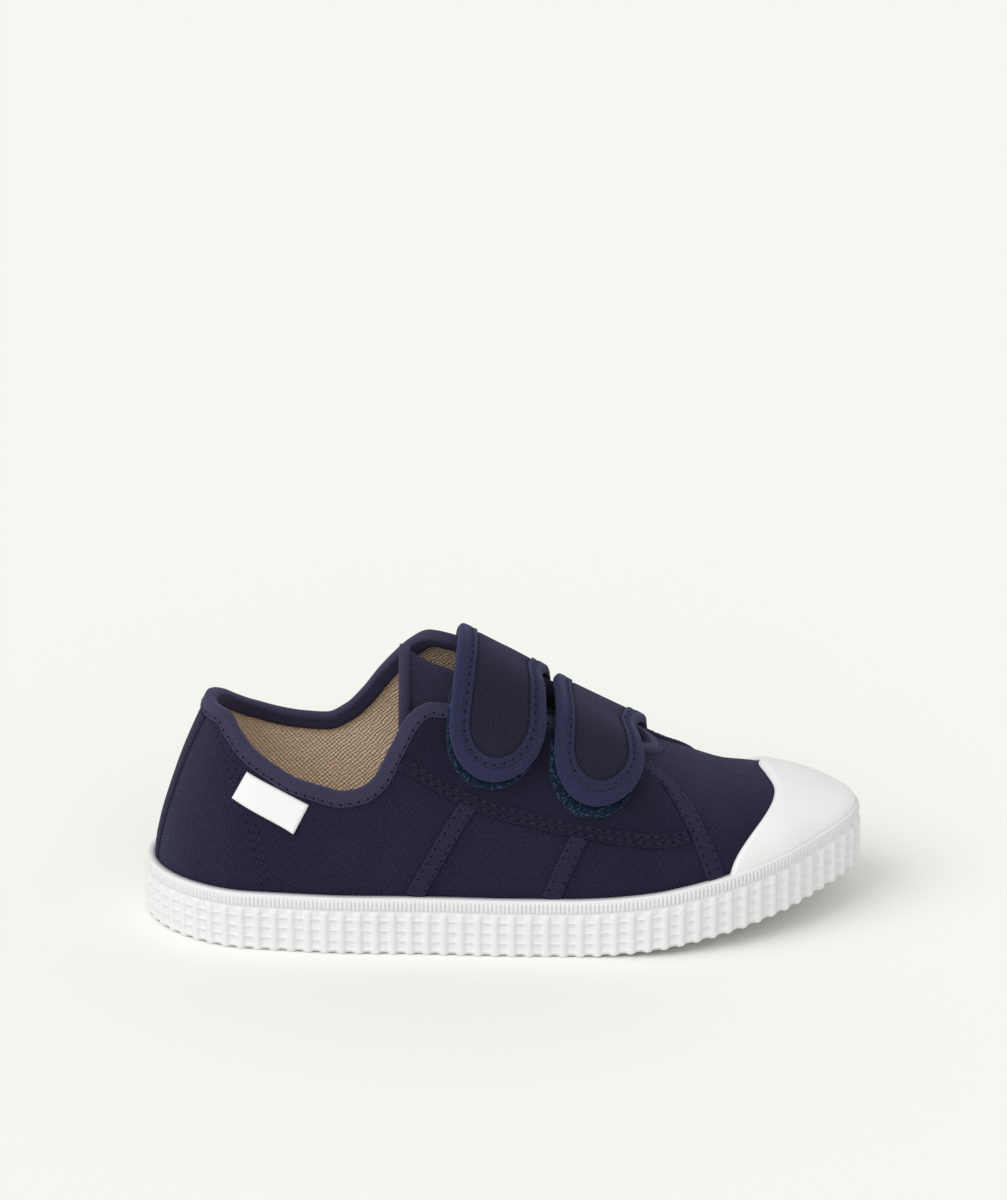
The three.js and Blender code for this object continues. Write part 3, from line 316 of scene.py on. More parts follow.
# Height of the creases at a place on the cloth
def crease_height(turn, angle):
    x = station_at(turn)
    arc = angle * SIDE_ARC / QUARTER
    height = np.zeros(np.broadcast(x, arc).shape)
    for start, end, width, depth in CREASES:
        a = np.array([start[0] * LENGTH, start[1] * SIDE_ARC])
        b = np.array([end[0] * LENGTH, end[1] * SIDE_ARC])
        along = b - a
        t = share(((x - a[0]) * along[0] + (arc - a[1]) * along[1]) / along.dot(along))
        gap = np.hypot(x - a[0] - t * along[0], arc - a[1] - t * along[1])
        taper = 0.35 + 0.65 * np.sin(math.pi * t)
        height = height - depth * taper * np.exp(-((gap / width) ** 2))
    edge = share((QUARTER - np.abs(angle)) / 0.12)
    return height * edge


# A point at a height over the last, creases included
def on_last(turn, angle, height=0.0):
    height = np.asarray(height, float) + crease_height(turn, angle)
    return last_point(turn, angle) + tangents(turn, angle)[2] * height[..., None]


# A point of the upright wall under the foxing line, offset outwards from the plan
def on_wall(turn, side, lift, outwards):
    angle = side * QUARTER
    point = last_point(turn, angle)
    normal = tangents(turn, angle)[2] * np.array([1, 1, 0])
    normal = unit(normal)
    base = ground(station_at(turn)) + lift
    flat = point + normal * np.asarray(outwards, float)[..., None]
    return np.concatenate([flat[..., :2], np.broadcast_to(base, flat.shape[:-1])[..., None]], -1)


# Follows the surface from places in directions for distances
def walk(turn, angle, direction, distance):
    distance = np.asarray(distance, float)
    turn, angle, distance = (np.array(v, float) for v in np.broadcast_arrays(turn, angle, distance))
    heading = np.array(np.broadcast_to(direction, turn.shape + (3,)), float)
    steps = max(1, math.ceil(np.abs(distance).max() / 1.5))
    for _ in range(steps):
        lengthwise, around, normal = tangents(turn, angle)
        heading = unit(heading - normal * (heading * normal).sum(-1, keepdims=True))
        a = (lengthwise**2).sum(-1)
        b = (lengthwise * around).sum(-1)
        c = (around**2).sum(-1)
        d = (lengthwise * heading).sum(-1)
        e = (around * heading).sum(-1)
        scale = distance / steps / (a * c - b * b)
        turn = share(turn + scale * (d * c - e * b))
        angle = np.clip(angle + scale * (e * a - d * b), -QUARTER, QUARTER)
    return turn, angle


# Angle of the opening's edge at a station
def edge_angle(x, side):
    x = np.asarray(x, float)
    down = np.where(
        side < 0,
        column(OPENING, "lateral", x / LENGTH),
        column(OPENING, "medial", x / LENGTH),
    )
    angle = side * down * QUARTER * round_off(THROAT_FRONT - x, THROAT_ROUND, 2)
    return np.where(x >= THROAT_FRONT - NUDGE, 0.0, angle)


# Stations from the back seam to the throat's front end, close together where the edge turns fastest
def opening_stations(heel, side, throat):
    return np.concatenate([
        BACK + HEEL_ROUND * (1 - np.cos(np.linspace(0, QUARTER, heel))),
        np.linspace(BACK + HEEL_ROUND, THROAT_FRONT - THROAT_ROUND, side)[1:],
        THROAT_FRONT - THROAT_ROUND * (1 - np.cos(np.linspace(QUARTER, 0, throat)))[1:],
    ])


# The opening's edge as a closed loop with the directions at each point
def opening_loop(count):
    half = opening_stations(count // 5, count // 2, count // 6)
    x = np.concatenate([half, half[1:-1][::-1]])
    side = np.concatenate([np.full(len(half), LATERAL), np.full(len(half) - 2, MEDIAL)])
    turn, angle = turn_at(x), edge_angle(x, side)
    point = last_point(turn, angle)
    along = unit(np.roll(point, -1, 0) - np.roll(point, 1, 0))
    normal = tangents(turn, angle)[2]
    down = unit(np.cross(along, normal))
    return {"turn": turn, "angle": angle, "point": point, "normal": normal, "down": down}


# A line below the opening's edge at a distance, as a function of the station on one side
def below_edge(distance, side):
    loop = opening_loop(240)
    turn, angle = walk(loop["turn"], loop["angle"], loop["down"], distance)
    x = station_at(turn)
    used = angle * side >= 0
    order = np.argsort(x[used])
    xs, angles = x[used][order], angle[used][order]
    return lambda at: np.interp(at, xs, angles)


# Blender helpers
def to_frame(points):
    return (np.asarray(points, float) - np.array([HEEL_REST, 0, 0])) / 1000


def make_object(name, points, faces, material_list, replaced=(), uv=None, face_slots=None):
    mesh = bpy.data.meshes.new(name)
    flat = to_frame(points).reshape(-1, 3)
    mesh.from_pydata(flat.tolist(), [], [tuple(int(i) for i in f) for f in faces])
    for material in material_list:
        mesh.materials.append(material)
    if face_slots is not None:
        mesh.polygons.foreach_set("material_index", np.asarray(face_slots, np.int32))
    if uv is not None:
        layer = mesh.uv_layers.new(name="cloth")
        index = np.empty(len(mesh.loops), np.int32)
        mesh.loops.foreach_get("vertex_index", index)
        layer.data.foreach_set("uv", np.asarray(uv, np.float32).reshape(-1, 2)[index].ravel())
    mesh.validate()
    mesh.shade_smooth()
    mesh.update()
    obj = bpy.data.objects.new(name, mesh)
    bpy.context.collection.objects.link(obj)
    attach(obj, "root")
    if replaced:
        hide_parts(*replaced)
    return obj


# Turns all faces outwards, and joins points that coincide where asked
def face_outwards(obj, weld=False):
    tidy = bmesh.new()
    tidy.from_mesh(obj.data)
    if weld:
        bmesh.ops.remove_doubles(tidy, verts=tidy.verts, dist=1e-6)
        bmesh.ops.dissolve_degenerate(tidy, edges=tidy.edges, dist=1e-7)
    bmesh.ops.recalc_face_normals(tidy, faces=tidy.faces)
    tidy.to_mesh(obj.data)
    tidy.free()


def grid_faces(rows, columns, offset=0, closed=False, flip=False):
    i, j = np.meshgrid(np.arange(rows - 1), np.arange(columns if closed else columns - 1), indexing="ij")
    k = (j + 1) % columns
    quads = np.stack([i * columns + j, (i + 1) * columns + j, (i + 1) * columns + k, i * columns + k], -1)
    quads = quads.reshape(-1, 4) + offset
    return quads[:, ::-1] if flip else quads


# Quads between two lines of corners, back to the first corners where the lines are closed
def bridge(a, b, closed=False):
    if closed:
        a, b = np.append(a, a[0]), np.append(b, b[0])
    return np.stack([a[:-1], a[1:], b[1:], b[:-1]], -1)


# The points of two grids, one after the other
def pair(top, bottom):
    return np.concatenate([top.reshape(-1, top.shape[-1]), bottom.reshape(-1, top.shape[-1])])


# Lengths along a line of points, or down each column of a grid of points
def run_lengths(points):
    steps = np.linalg.norm(np.diff(points, axis=0), axis=-1)
    return np.concatenate([np.zeros((1,) + steps.shape[1:]), np.cumsum(steps, 0)])


# Values that belong to a line of points, at given lengths along it
def sample(at, lengths, values):
    return np.stack([np.interp(at, lengths, values[:, k]) for k in range(3)], -1)


# Surface lengths in millimetres along both directions of a grid
def cloth_uv(points):
    u = run_lengths(points).mean(1)
    v = run_lengths(points.swapaxes(0, 1)).T
    return np.stack([np.broadcast_to(u[:, None], v.shape), v - v[:, -1:] / 2], -1)


# A thin piece between an outer and an inner grid of the same size, closed round its border
def slab(name, top, bottom, materials, replaced, two_sided=False, hem_rows=0):
    rows, columns = top.shape[:2]
    count = rows * columns
    border = np.concatenate([
        np.arange(columns),
        np.arange(1, rows) * columns + columns - 1,
        (rows - 1) * columns + np.arange(columns - 2, -1, -1),
        np.arange(rows - 2, 0, -1) * columns,
    ])
    faces = [
        grid_faces(rows, columns),
        grid_faces(rows, columns, count, flip=True),
        bridge(border, border + count, closed=True),
    ]
    slots = np.concatenate([
        np.where(np.arange(len(faces[0])) < hem_rows * (columns - 1), 2, 0),
        np.full(len(faces[1]), int(two_sided)),
        np.zeros(len(border)),
    ])
    uv = cloth_uv(top)
    make_object(name, pair(top, bottom), np.concatenate(faces), materials, replaced, pair(uv, uv),
                slots)


# Share of the full thickness at a distance from an edge, a quarter of it at the edge itself
def edge_round(distance, radius):
    return 0.25 + 0.75 * np.sqrt(1 - (1 - share(distance / radius)) ** 2)


STITCHES = {}
HOLE_SHADE_DISCS = []
STITCH_RINGS = 6
STITCH_SIDES = 6
STITCH_WOBBLE = 0.06

# Kinds of stitches: pitch, length, radius and, for the heel's, how deep they sink, in millimetres
BINDING_STITCH = (2.4, 1.6, 0.26)
HEM_STITCH = (2.5, 1.6, 0.24)
TONGUE_STITCH = (2.4, 1.5, 0.24)
TAPE_STITCH = (2.3, 1.5, 0.22)
CROSS_STITCH = (2.4, 1.6, 0.24)
HEEL_STITCH = (2.4, 1.5, 0.2, 0.08)


# Adds a row of stitches along a line that lies on the cloth; the normals say which way is out
def stitch_row(kind, points, normals, spacing, length, radius, sink=0.1):
    lengths = run_lengths(points)
    count = max(int(lengths[-1] / spacing), 1)
    at = (np.arange(count) + 0.5) * lengths[-1] / count
    centre = sample(at, lengths, points)
    normal = unit(sample(at, lengths, normals))
    near = 0.3
    along = unit(sample(at + near, lengths, points) - sample(at - near, lengths, points))
    across = unit(np.cross(normal, along))
    along = unit(along + across * rng.normal(0, STITCH_WOBBLE, count)[:, None])
    t = np.linspace(-1, 1, STITCH_RINGS)[:, None]
    a = np.arange(STITCH_SIDES) * 2 * math.pi / STITCH_SIDES
    bulge = np.sqrt(1 - np.clip(np.abs(t) ** 3, 0, 0.97))
    wide = bulge * np.cos(a) * radius
    high = bulge * np.sin(a) * radius - 0.35 * radius * t**2 - sink
    shape = (
        centre[:, None, None]
        + along[:, None, None] * (t * length / 2)[..., None]
        + across[:, None, None] * wide[..., None]
        + normal[:, None, None] * high[..., None]
    )
    STITCHES.setdefault(kind, []).append(shape.reshape(-1, STITCH_RINGS * STITCH_SIDES, 3))
    # A disc of painted shade between the stitches, where the needle hole lies in shadow
    hole_length, hole_width, hole_lift = radius * 1.45, radius * 1.25, 0.05
    disc = (
        (centre + along * spacing / 2)[:, None]
        + along[:, None] * (np.cos(a) * hole_length)[:, None]
        + across[:, None] * (np.sin(a) * hole_width)[:, None]
        + normal[:, None] * hole_lift
    )
    HOLE_SHADE_DISCS.append(disc)


# The same along a line of places of the last
def stitch_on_last(kind, turn, angle, height, *sizes):
    stitch_row(kind, on_last(turn, angle, height), tangents(turn, angle)[2], *sizes)


# One piece with all stitches of a kind
def build_stitches(kind):
    shapes = np.concatenate(STITCHES[kind])
    corners = STITCH_RINGS * STITCH_SIDES
    sides = grid_faces(STITCH_RINGS, STITCH_SIDES, closed=True)
    ends = (range(STITCH_SIDES), range(corners - 1, corners - STITCH_SIDES - 1, -1))
    faces = []
    for offset in range(0, len(shapes) * corners, corners):
        faces.extend((sides + offset).tolist())
        faces.extend([[i + offset for i in end] for end in ends])
    make_object(kind, shapes, faces, [THREAD], ())


# Small discs of painted shade where the needle went through, standing in for the shadow inside each hole
def build_hole_shades():
    discs = np.concatenate(HOLE_SHADE_DISCS)
    faces = np.arange(discs.shape[0] * discs.shape[1]).reshape(discs.shape[:2])
    make_object("painted_hole_shades", discs, faces, [HOLE_SHADE_PAINT], ())


# Node helpers for materials
class Nodes:
    def __init__(self, name, colour, roughness):
        self.material = bpy.data.materials.new(name)
        self.material.use_nodes = True
        self.tree = self.material.node_tree
        self.shader = self.tree.nodes["Principled BSDF"]
        self.fill(self.shader, {"Base Color": (*colour, 1), "Roughness": roughness})

    def put(self, socket, value):
        if isinstance(value, bpy.types.NodeSocket):
            self.tree.links.new(value, socket)
        else:
            socket.default_value = value

    def fill(self, node, values):
        for name, value in values.items():
            self.put(node.inputs[name], value)
        return node

    def add(self, kind, values, **settings):
        node = self.tree.nodes.new(kind)
        for key, value in settings.items():
            setattr(node, key, value)
        return self.fill(node, values)

    def math(self, operation, *values):
        node = self.add("ShaderNodeMath", {}, operation=operation)
        for socket, value in zip(node.inputs, values):
            self.put(socket, value)
        return node.outputs[0]

    def noise(self, vector, scale, detail=2.0, roughness=0.5):
        values = {"Vector": vector, "Scale": scale, "Detail": detail, "Roughness": roughness}
        return self.add("ShaderNodeTexNoise", values).outputs["Fac"]

    def colours(self, factor, low, high):
        low, high = ((*colour, 1) if isinstance(colour, tuple) else colour for colour in (low, high))
        node = self.add("ShaderNodeMix", {"Factor": factor, "A": low, "B": high}, data_type="RGBA")
        return node.outputs["Result"]

    def span(self, value, low, high, to_low=0.0, to_high=1.0):
        values = {"Value": value, "From Min": low, "From Max": high, "To Min": to_low, "To Max": to_high}
        return self.add("ShaderNodeMapRange", values).outputs["Result"]

    def bump(self, height, distance):
        values = {"Height": height, "Distance": distance, "Strength": 1.0}
        return self.add("ShaderNodeBump", values).outputs["Normal"]

    def object_place(self):
        return self.add("ShaderNodeTexCoord", {}).outputs["Object"]

    # Cloth coordinates in millimetres, turned by an angle
    def cloth(self, turn):
        uv = self.add("ShaderNodeUVMap", {}, uv_map="cloth").outputs["UV"]
        turned = self.add("ShaderNodeMapping", {"Vector": uv, "Rotation": (0, 0, turn)}).outputs["Vector"]
        parts = self.add("ShaderNodeSeparateXYZ", {"Vector": turned}).outputs
        return turned, parts["X"], parts["Y"]


# A plain weave: two sets of yarns that pass over and under each other, with painted shade in the low points
# between the crossings
def woven(name, dark, light, pitch, depth, turn=0.0, sheen=0.2, flecks=0.0, fleck_colour=None):
    n = Nodes(name, light, 0.9)
    vector, u, v = n.cloth(turn)
    wobble = n.math("MULTIPLY", n.noise(vector, 0.35), pitch * 0.9)
    warp, weft = (
        n.math("SINE", n.math("MULTIPLY", n.math("ADD", place, wobble), 2 * math.pi / pitch))
        for place in (u, v)
    )
    crossing = n.math("MULTIPLY_ADD", n.math("MULTIPLY", warp, weft), 0.5, 0.5)
    slub = n.noise(vector, 1.1 / pitch, 3.0, 0.6)
    patch = n.noise(vector, 0.035, 3.0, 0.6)
    # The colour follows the weave's relief: raised crossings are painted lighter and the low points darker
    # as painted shade, on top of the yarns' own uneven tone from slubs and patches
    tone = n.math("MULTIPLY_ADD", crossing, 0.95, n.math("MULTIPLY_ADD", slub, 0.9, -0.45))
    tone_and_weave_shade = n.span(n.math("MULTIPLY_ADD", patch, 0.5, n.math("ADD", tone, -0.25)), 0.0, 1.0)
    base = n.colours(tone_and_weave_shade, dark, light)
    if flecks:
        mark = n.span(n.noise(vector, 2.1, 1.0, 0.4), 0.7, 0.78, 0.0, flecks)
        base = n.colours(mark, base, fleck_colour)
    n.fill(n.shader, {
        "Base Color": base,
        "Normal": n.bump(n.math("MULTIPLY_ADD", slub, 0.5, crossing), depth),
        "Sheen Weight": sheen,
        "Sheen Roughness": 0.5,
        "Sheen Tint": (0.4, 0.43, 0.8, 1),
        "Specular IOR Level": 0.15,
    })
    return n.material


# Rubber with a fine grain and faint clouds of tone
def rubber(name, colour, grain=0.00004, roughness=0.5):
    n = Nodes(name, colour, roughness)
    place = n.object_place()
    cloud = n.noise(place, 40.0, 4.0, 0.6)
    fine = n.noise(place, 2600.0, 3.0, 0.6)
    n.fill(n.shader, {
        "Base Color": n.colours(cloud, tuple(c * 0.94 for c in colour), colour),
        "Normal": n.bump(fine, grain),
        "Roughness": n.span(fine, 0.3, 0.7, roughness - 0.06, roughness + 0.08),
        "Specular IOR Level": 0.35,
    })
    return n.material


# A plain twisted fibre
def plain_thread(name, colour):
    n = Nodes(name, colour, 0.7)
    twist = n.noise(n.object_place(), 3000.0)
    n.fill(n.shader, {
        "Base Color": n.colours(twist, tuple(c * 0.6 for c in colour), colour),
        "Normal": n.bump(twist, 0.00008),
        "Specular IOR Level": 0.12,
    })
    return n.material


# Turn of the weave in tapes that are cut on the bias
BIAS = 0.785

# Cloths: dark and light colour, between which the yarns' own tone and the painted shade of the weave's low
# points vary, pitch of the threads in millimetres, relief in metres, turn of the weave, sheen, then strength
# and colour of the flecks
CANVAS = woven("canvas", (0.0033, 0.0032, 0.0108), (0.0235, 0.0215, 0.055), 0.98, 0.00026, 0.35, 0.16,
               0.3, (0.09, 0.095, 0.17))
CANVAS_FINE = woven("canvas_fine", (0.0032, 0.003, 0.0095), (0.0165, 0.0152, 0.038), 0.8, 0.00016, 0.0,
                    0.14, 0.2, (0.09, 0.1, 0.17))
SEAM_TAPE = woven("seam_tape", (0.006, 0.006, 0.016), (0.029, 0.028, 0.066), 0.66, 0.00012, BIAS)
TONGUE_CLOTH = woven("tongue_cloth", (0.01, 0.0098, 0.021), (0.048, 0.046, 0.087), 0.8, 0.0002, 0.2, 0.16)
BINDING = woven("binding_tape", (0.015, 0.0142, 0.034), (0.06, 0.056, 0.106), 0.62, 0.0001, BIAS, 0.2,
                0.15, (0.1, 0.12, 0.24))
TAPE = woven("strap_tape", (0.009, 0.0092, 0.0285), (0.034, 0.0355, 0.091), 0.62, 0.0001, BIAS, 0.2,
             0.15, (0.1, 0.12, 0.24))
STRAP_TWILL = woven("strap_cloth", (0.0062, 0.0058, 0.014), (0.023, 0.0215, 0.043), 0.75, 0.0001, BIAS,
                    0.12)
LINING = woven("lining_cloth", (0.78, 0.55, 0.38), (1.0, 0.88, 0.7), 1.35, 0.0004, 0.0, 0.0,
               0.4, (0.98, 0.93, 0.8))
WHITE_TAPE = woven("label_tape", (0.76, 0.76, 0.76), (0.9, 0.9, 0.9), 0.35, 0.00003, 0.0, 0.0)
PAD_BASE = woven("pad_base", (0.003, 0.006, 0.016), (0.01, 0.024, 0.055), 0.8, 0.0003)
THREAD = plain_thread("thread", (0.026, 0.029, 0.075))
# Near-black paint for the shade inside the needle holes
HOLE_SHADE_PAINT = plain_thread("painted_hole_shade", (0.0015, 0.0015, 0.004))
LOOPS = plain_thread("loop_fibre", (0.01, 0.03, 0.075))
# Light teal paint for loops that catch the light, a painted glint
LOOPS_GLINT = plain_thread("loop_fibre_glint", (0.09, 0.19, 0.34))
RUBBER = rubber("white_rubber", (0.775, 0.78, 0.785))
CAP_RUBBER = rubber("cap_rubber", (0.86, 0.865, 0.862), 0.00002, 0.45)


# The upper; its inner face is lining at the back and canvas beside the throat
def make_upper():
    toe = FRONT - TOE_ROUND * (1 - np.cos(np.linspace(QUARTER, 0, 40)))
    x = np.concatenate([opening_stations(26, 70, 16), toe[toe > THROAT_FRONT + 0.4]])
    ring_x = np.concatenate([x, x[1:-1][::-1]])
    upwards = np.linspace(0, 1, 42)[:, None]
    lifts = (SOLE_THICKNESS + FIT, (SOLE_THICKNESS + FOXING_HEIGHT) / 2)

    def layer(height):
        parts = []
        for side, xs in ((LATERAL, x), (MEDIAL, x[1:-1][::-1])):
            turn = turn_at(xs)
            angle = mix(side * QUARTER, edge_angle(xs, side), upwards)
            wall = np.stack([on_wall(turn, side, lift, height) for lift in lifts])
            parts.append(np.concatenate([wall, on_last(turn, angle, height)]))
        return np.concatenate(parts, 1)

    outer, inner = layer(0.0), layer(-WALL)
    rows, columns = outer.shape[:2]
    count = rows * columns
    ring = np.arange(columns)
    top = (rows - 1) * columns + ring
    closed = ring_x >= THROAT_FRONT - NUDGE
    open_edge = ~(closed & np.roll(closed, -1))
    rim = bridge(top, count + top, closed=True)[open_edge][:, ::-1]
    foot = bridge(ring, count + ring, closed=True)
    faces = [
        grid_faces(rows, columns, closed=True, flip=True),
        grid_faces(rows, columns, count, closed=True),
        rim,
        foot,
    ]
    lined = np.tile(ring_x < LINING_FRONT * LENGTH, rows - 1)
    slots = np.concatenate([np.zeros(len(faces[0])), lined, np.zeros(len(rim) + len(foot))])
    uv = np.stack(np.broadcast_arrays(run_lengths(outer[2]), run_lengths(outer)), -1)
    obj = make_object("canvas_upper", pair(outer, inner), np.concatenate(faces), [CANVAS, LINING],
                      ("upper",), pair(uv, uv), slots)
    face_outwards(obj, weld=True)


# Places round the plan, found by the length along its outline at an offset outwards
class PlanWalker:
    def __init__(self, outwards):
        signed = np.linspace(0, 2, 961)
        turn = np.where(signed <= 1, signed, 2 - signed)
        side = np.where(signed <= 1, LATERAL, MEDIAL)
        self.signed = signed
        self.lengths = run_lengths(on_wall(turn, side, 0.0, outwards)[:, :2])
        self.total = self.lengths[-1]

    def at(self, distance):
        signed = np.interp(np.mod(distance, self.total), self.lengths, self.signed)
        return np.where(signed <= 1, signed, 2 - signed), np.where(signed <= 1, LATERAL, MEDIAL)

    def distance_to(self, turn, side):
        return np.interp(turn if side == LATERAL else 2 - turn, self.signed, self.lengths)


# The rubber band round the shoe, with rounded ribs, thin lines between them and the knurled band
def make_foxing():
    base = FIT + FOXING_THICKNESS
    walker = PlanWalker(base + RIB_DEPTH)
    ribs = round(walker.total / RIB_PITCH)
    columns = ribs * KNURLS_PER_RIB * len(KNURL_SHAPE)
    count = np.arange(columns)
    part, knurl = np.array(KNURL_SHAPE)[count % len(KNURL_SHAPE)].T
    s = (count // len(KNURL_SHAPE) + part) / KNURLS_PER_RIB
    from_rib = (s % 1 - 0.5) * walker.total / ribs
    half_rib = RIB_WIDTH * 0.62
    rib = np.clip(1 - (np.abs(from_rib) / half_rib) ** 2.4, 0, None) ** 0.8
    around = s * walker.total / ribs
    turn, side = walker.at(around)
    rib_top = FOXING_HEIGHT - RIB_TOP_DROP
    band_top = FOXING_HEIGHT - BAND_DROP
    band_low = band_top - BAND_HEIGHT
    line_width, line_height, knurl_height = 0.24, 0.4, 0.26
    lifts = np.sort(np.concatenate([
        [0.0, 0.0, 0.25, 2.4, 5.15, 8.05],
        *[line + np.array([-0.42, -0.2, 0, 0.2, 0.42]) for line in FOXING_LINES],
        rib_top + np.array([-1.5, -0.9, -0.5, -0.2, 0.0]),
        band_low + np.array([-0.15, 0.0, 0.2, 0.8]),
        band_top + np.array([-0.7, -0.2, 0.0]),
        FOXING_HEIGHT + np.array([-0.65, -0.35, -0.12, 0.0, 0.0]),
    ]))

    def outline(lift):
        fade = share((rib_top - lift) / 1.2)
        round_foot = 1 - 0.5 * share((0.7 - lift) / 0.7) ** 2
        line = max(np.exp(-(((lift - line_at) / line_width) ** 2)) for line_at in FOXING_LINES)
        in_band = share((lift - band_low) / 0.25) * share((band_top - lift) / 0.2 + 0.5)
        lip = share((lift - band_top - 0.1) / 0.15)
        out = base + RIB_DEPTH * rib * np.sqrt(fade) * round_foot + line_height * line * (1 - rib)
        out = out + in_band * (BAND_DEPTH * 0.5 + knurl_height * knurl)
        return out + lip * 0.1 - 0.5 * share((lift - FOXING_HEIGHT + 0.4) / 0.4) ** 2

    # The first and last row lie against the upper, and the lower edge lifts a little between the ribs
    last = len(lifts) - 1
    raised = 0.28 * (1 - rib)
    rows = []
    for k, lift in enumerate(lifts):
        out = FIT if k in (0, last) else outline(lift)
        rows.append(on_wall(turn, side, lift + raised if k <= 1 else lift, out))
    ring = np.arange(columns)
    faces = [
        grid_faces(len(lifts), columns, closed=True, flip=True),
        bridge(last * columns + ring, ring, closed=True)[:, ::-1],
    ]
    uv = np.stack(np.broadcast_arrays(around, lifts[:, None]), -1)
    obj = make_object("ribbed_foxing", np.stack(rows), np.concatenate(faces), [RUBBER], ("foxing",),
                      uv)
    face_outwards(obj)


# The place of the last above a point of its plan
def place_over(x, y):
    turn = turn_at(x)
    centre = plan(x, np.full(np.shape(x), LATERAL))[0]
    side = np.where(y < centre, LATERAL, MEDIAL)
    half = plan(x, side)[1]
    side_bend = column(BENDS, "side", x / LENGTH)
    angle = np.arcsin(share(np.abs(y - centre) / np.maximum(half, 1e-6)) ** (side_bend / 2))
    return turn, side * angle


# The smooth rubber cap, from the foxing up over the toe
def make_toe_cap():
    columns, rows = 97, 34
    walker = PlanWalker(0)
    end_turn = turn_at(CAP_EDGE["at"][-1] * LENGTH)
    start, end = walker.distance_to(end_turn, LATERAL), walker.distance_to(end_turn, MEDIAL)
    across = np.linspace(-1, 1, columns)
    foot_turn, foot_side = walker.at(mix(start, end, np.linspace(0, 1, columns)))
    foot = on_wall(foot_turn, foot_side, 0.0, 0.0)
    edge_x = column(CAP_EDGE, "at", np.abs(across), "down") * LENGTH
    edge_x = edge_x - CAP_SKEW * across * np.exp(-((across / CAP_SKEW_REACH) ** 2))
    blur_columns = 15
    blur = np.hanning(blur_columns)
    edge_x = np.convolve(np.pad(edge_x, blur_columns // 2, "edge"), blur / blur.sum(), "valid")
    target = last_point(turn_at(edge_x), across * QUARTER)
    t = 1 - np.cos(QUARTER * np.linspace(0, 1, rows))[:, None]
    turn, angle = place_over(mix(foot[:, 0], edge_x, t), mix(foot[:, 1], target[:, 1], t))
    to_edge = (1 - t) * np.hypot(foot[:, 0] - edge_x, foot[:, 1] - target[:, 1])
    base = 0.1
    fullness = 0.2
    thick = (FIT + CAP_THICKNESS + fullness - base) * edge_round(to_edge, 0.9)

    def layer(height, foot_out):
        points = on_last(turn, angle, height)
        foxing_top = ground(points[..., 0]) + FOXING_HEIGHT + 0.02
        points[..., 2] = np.maximum(points[..., 2], foxing_top)
        return np.concatenate([on_wall(foot_turn, foot_side, FOXING_HEIGHT - 0.5, foot_out)[None], points])

    slab("smooth_toe_cap", layer(base + thick, FIT + CAP_THICKNESS), layer(base, base), [CAP_RUBBER],
         ("toe_cap",))


# The folded tape over the opening's edge
def make_binding():
    loop = opening_loop(420)
    normal, down = loop["normal"], loop["down"]
    point = loop["point"] + normal * crease_height(loop["turn"], loop["angle"])[:, None]
    inside = WALL + 0.5
    thick = BINDING_THICKNESS
    outer = FIT + thick

    def leaf(distance, height):
        turn, angle = walk(loop["turn"], loop["angle"], down, distance)
        return on_last(turn, angle, height)

    middle = (outer - inside - thick) / 2
    reach = (outer + inside + thick) / 2
    points = np.stack([
        leaf(BINDING_WIDTH, 0.05),
        leaf(BINDING_WIDTH + 0.05, 0.35),
        leaf(BINDING_WIDTH - 0.3, outer - 0.05),
        *[leaf(distance, outer) for distance in (2.6, 1.7, 0.8)],
        *[
            point + normal * (middle + reach * math.cos(a)) - down * (outer - 0.1) * math.sin(a)
            for a in np.linspace(0, math.pi, 11)
        ],
        *[leaf(distance, -inside - thick) for distance in (0.8, 1.7, 2.6)],
        leaf(BINDING_WIDTH, -inside - thick + 0.1),
        leaf(BINDING_WIDTH + 0.05, -inside),
    ])
    rows, columns = points.shape[:2]
    last = (rows - 1) * columns
    i = np.arange(columns)
    j = np.roll(i, -1)
    faces = [grid_faces(rows, columns, closed=True), np.stack([last + i, i, j, last + j], -1)]
    uv = np.stack(np.broadcast_arrays(run_lengths(point), run_lengths(points).mean(1)[:, None]), -1)
    obj = make_object("edge_binding", points, np.concatenate(faces), [BINDING], ("collar_binding",),
                      uv)
    face_outwards(obj)
    turn, angle = walk(loop["turn"], loop["angle"], down, BINDING_WIDTH - 0.9)
    stitch_on_last("binding_stitches", turn, angle, outer, *BINDING_STITCH)


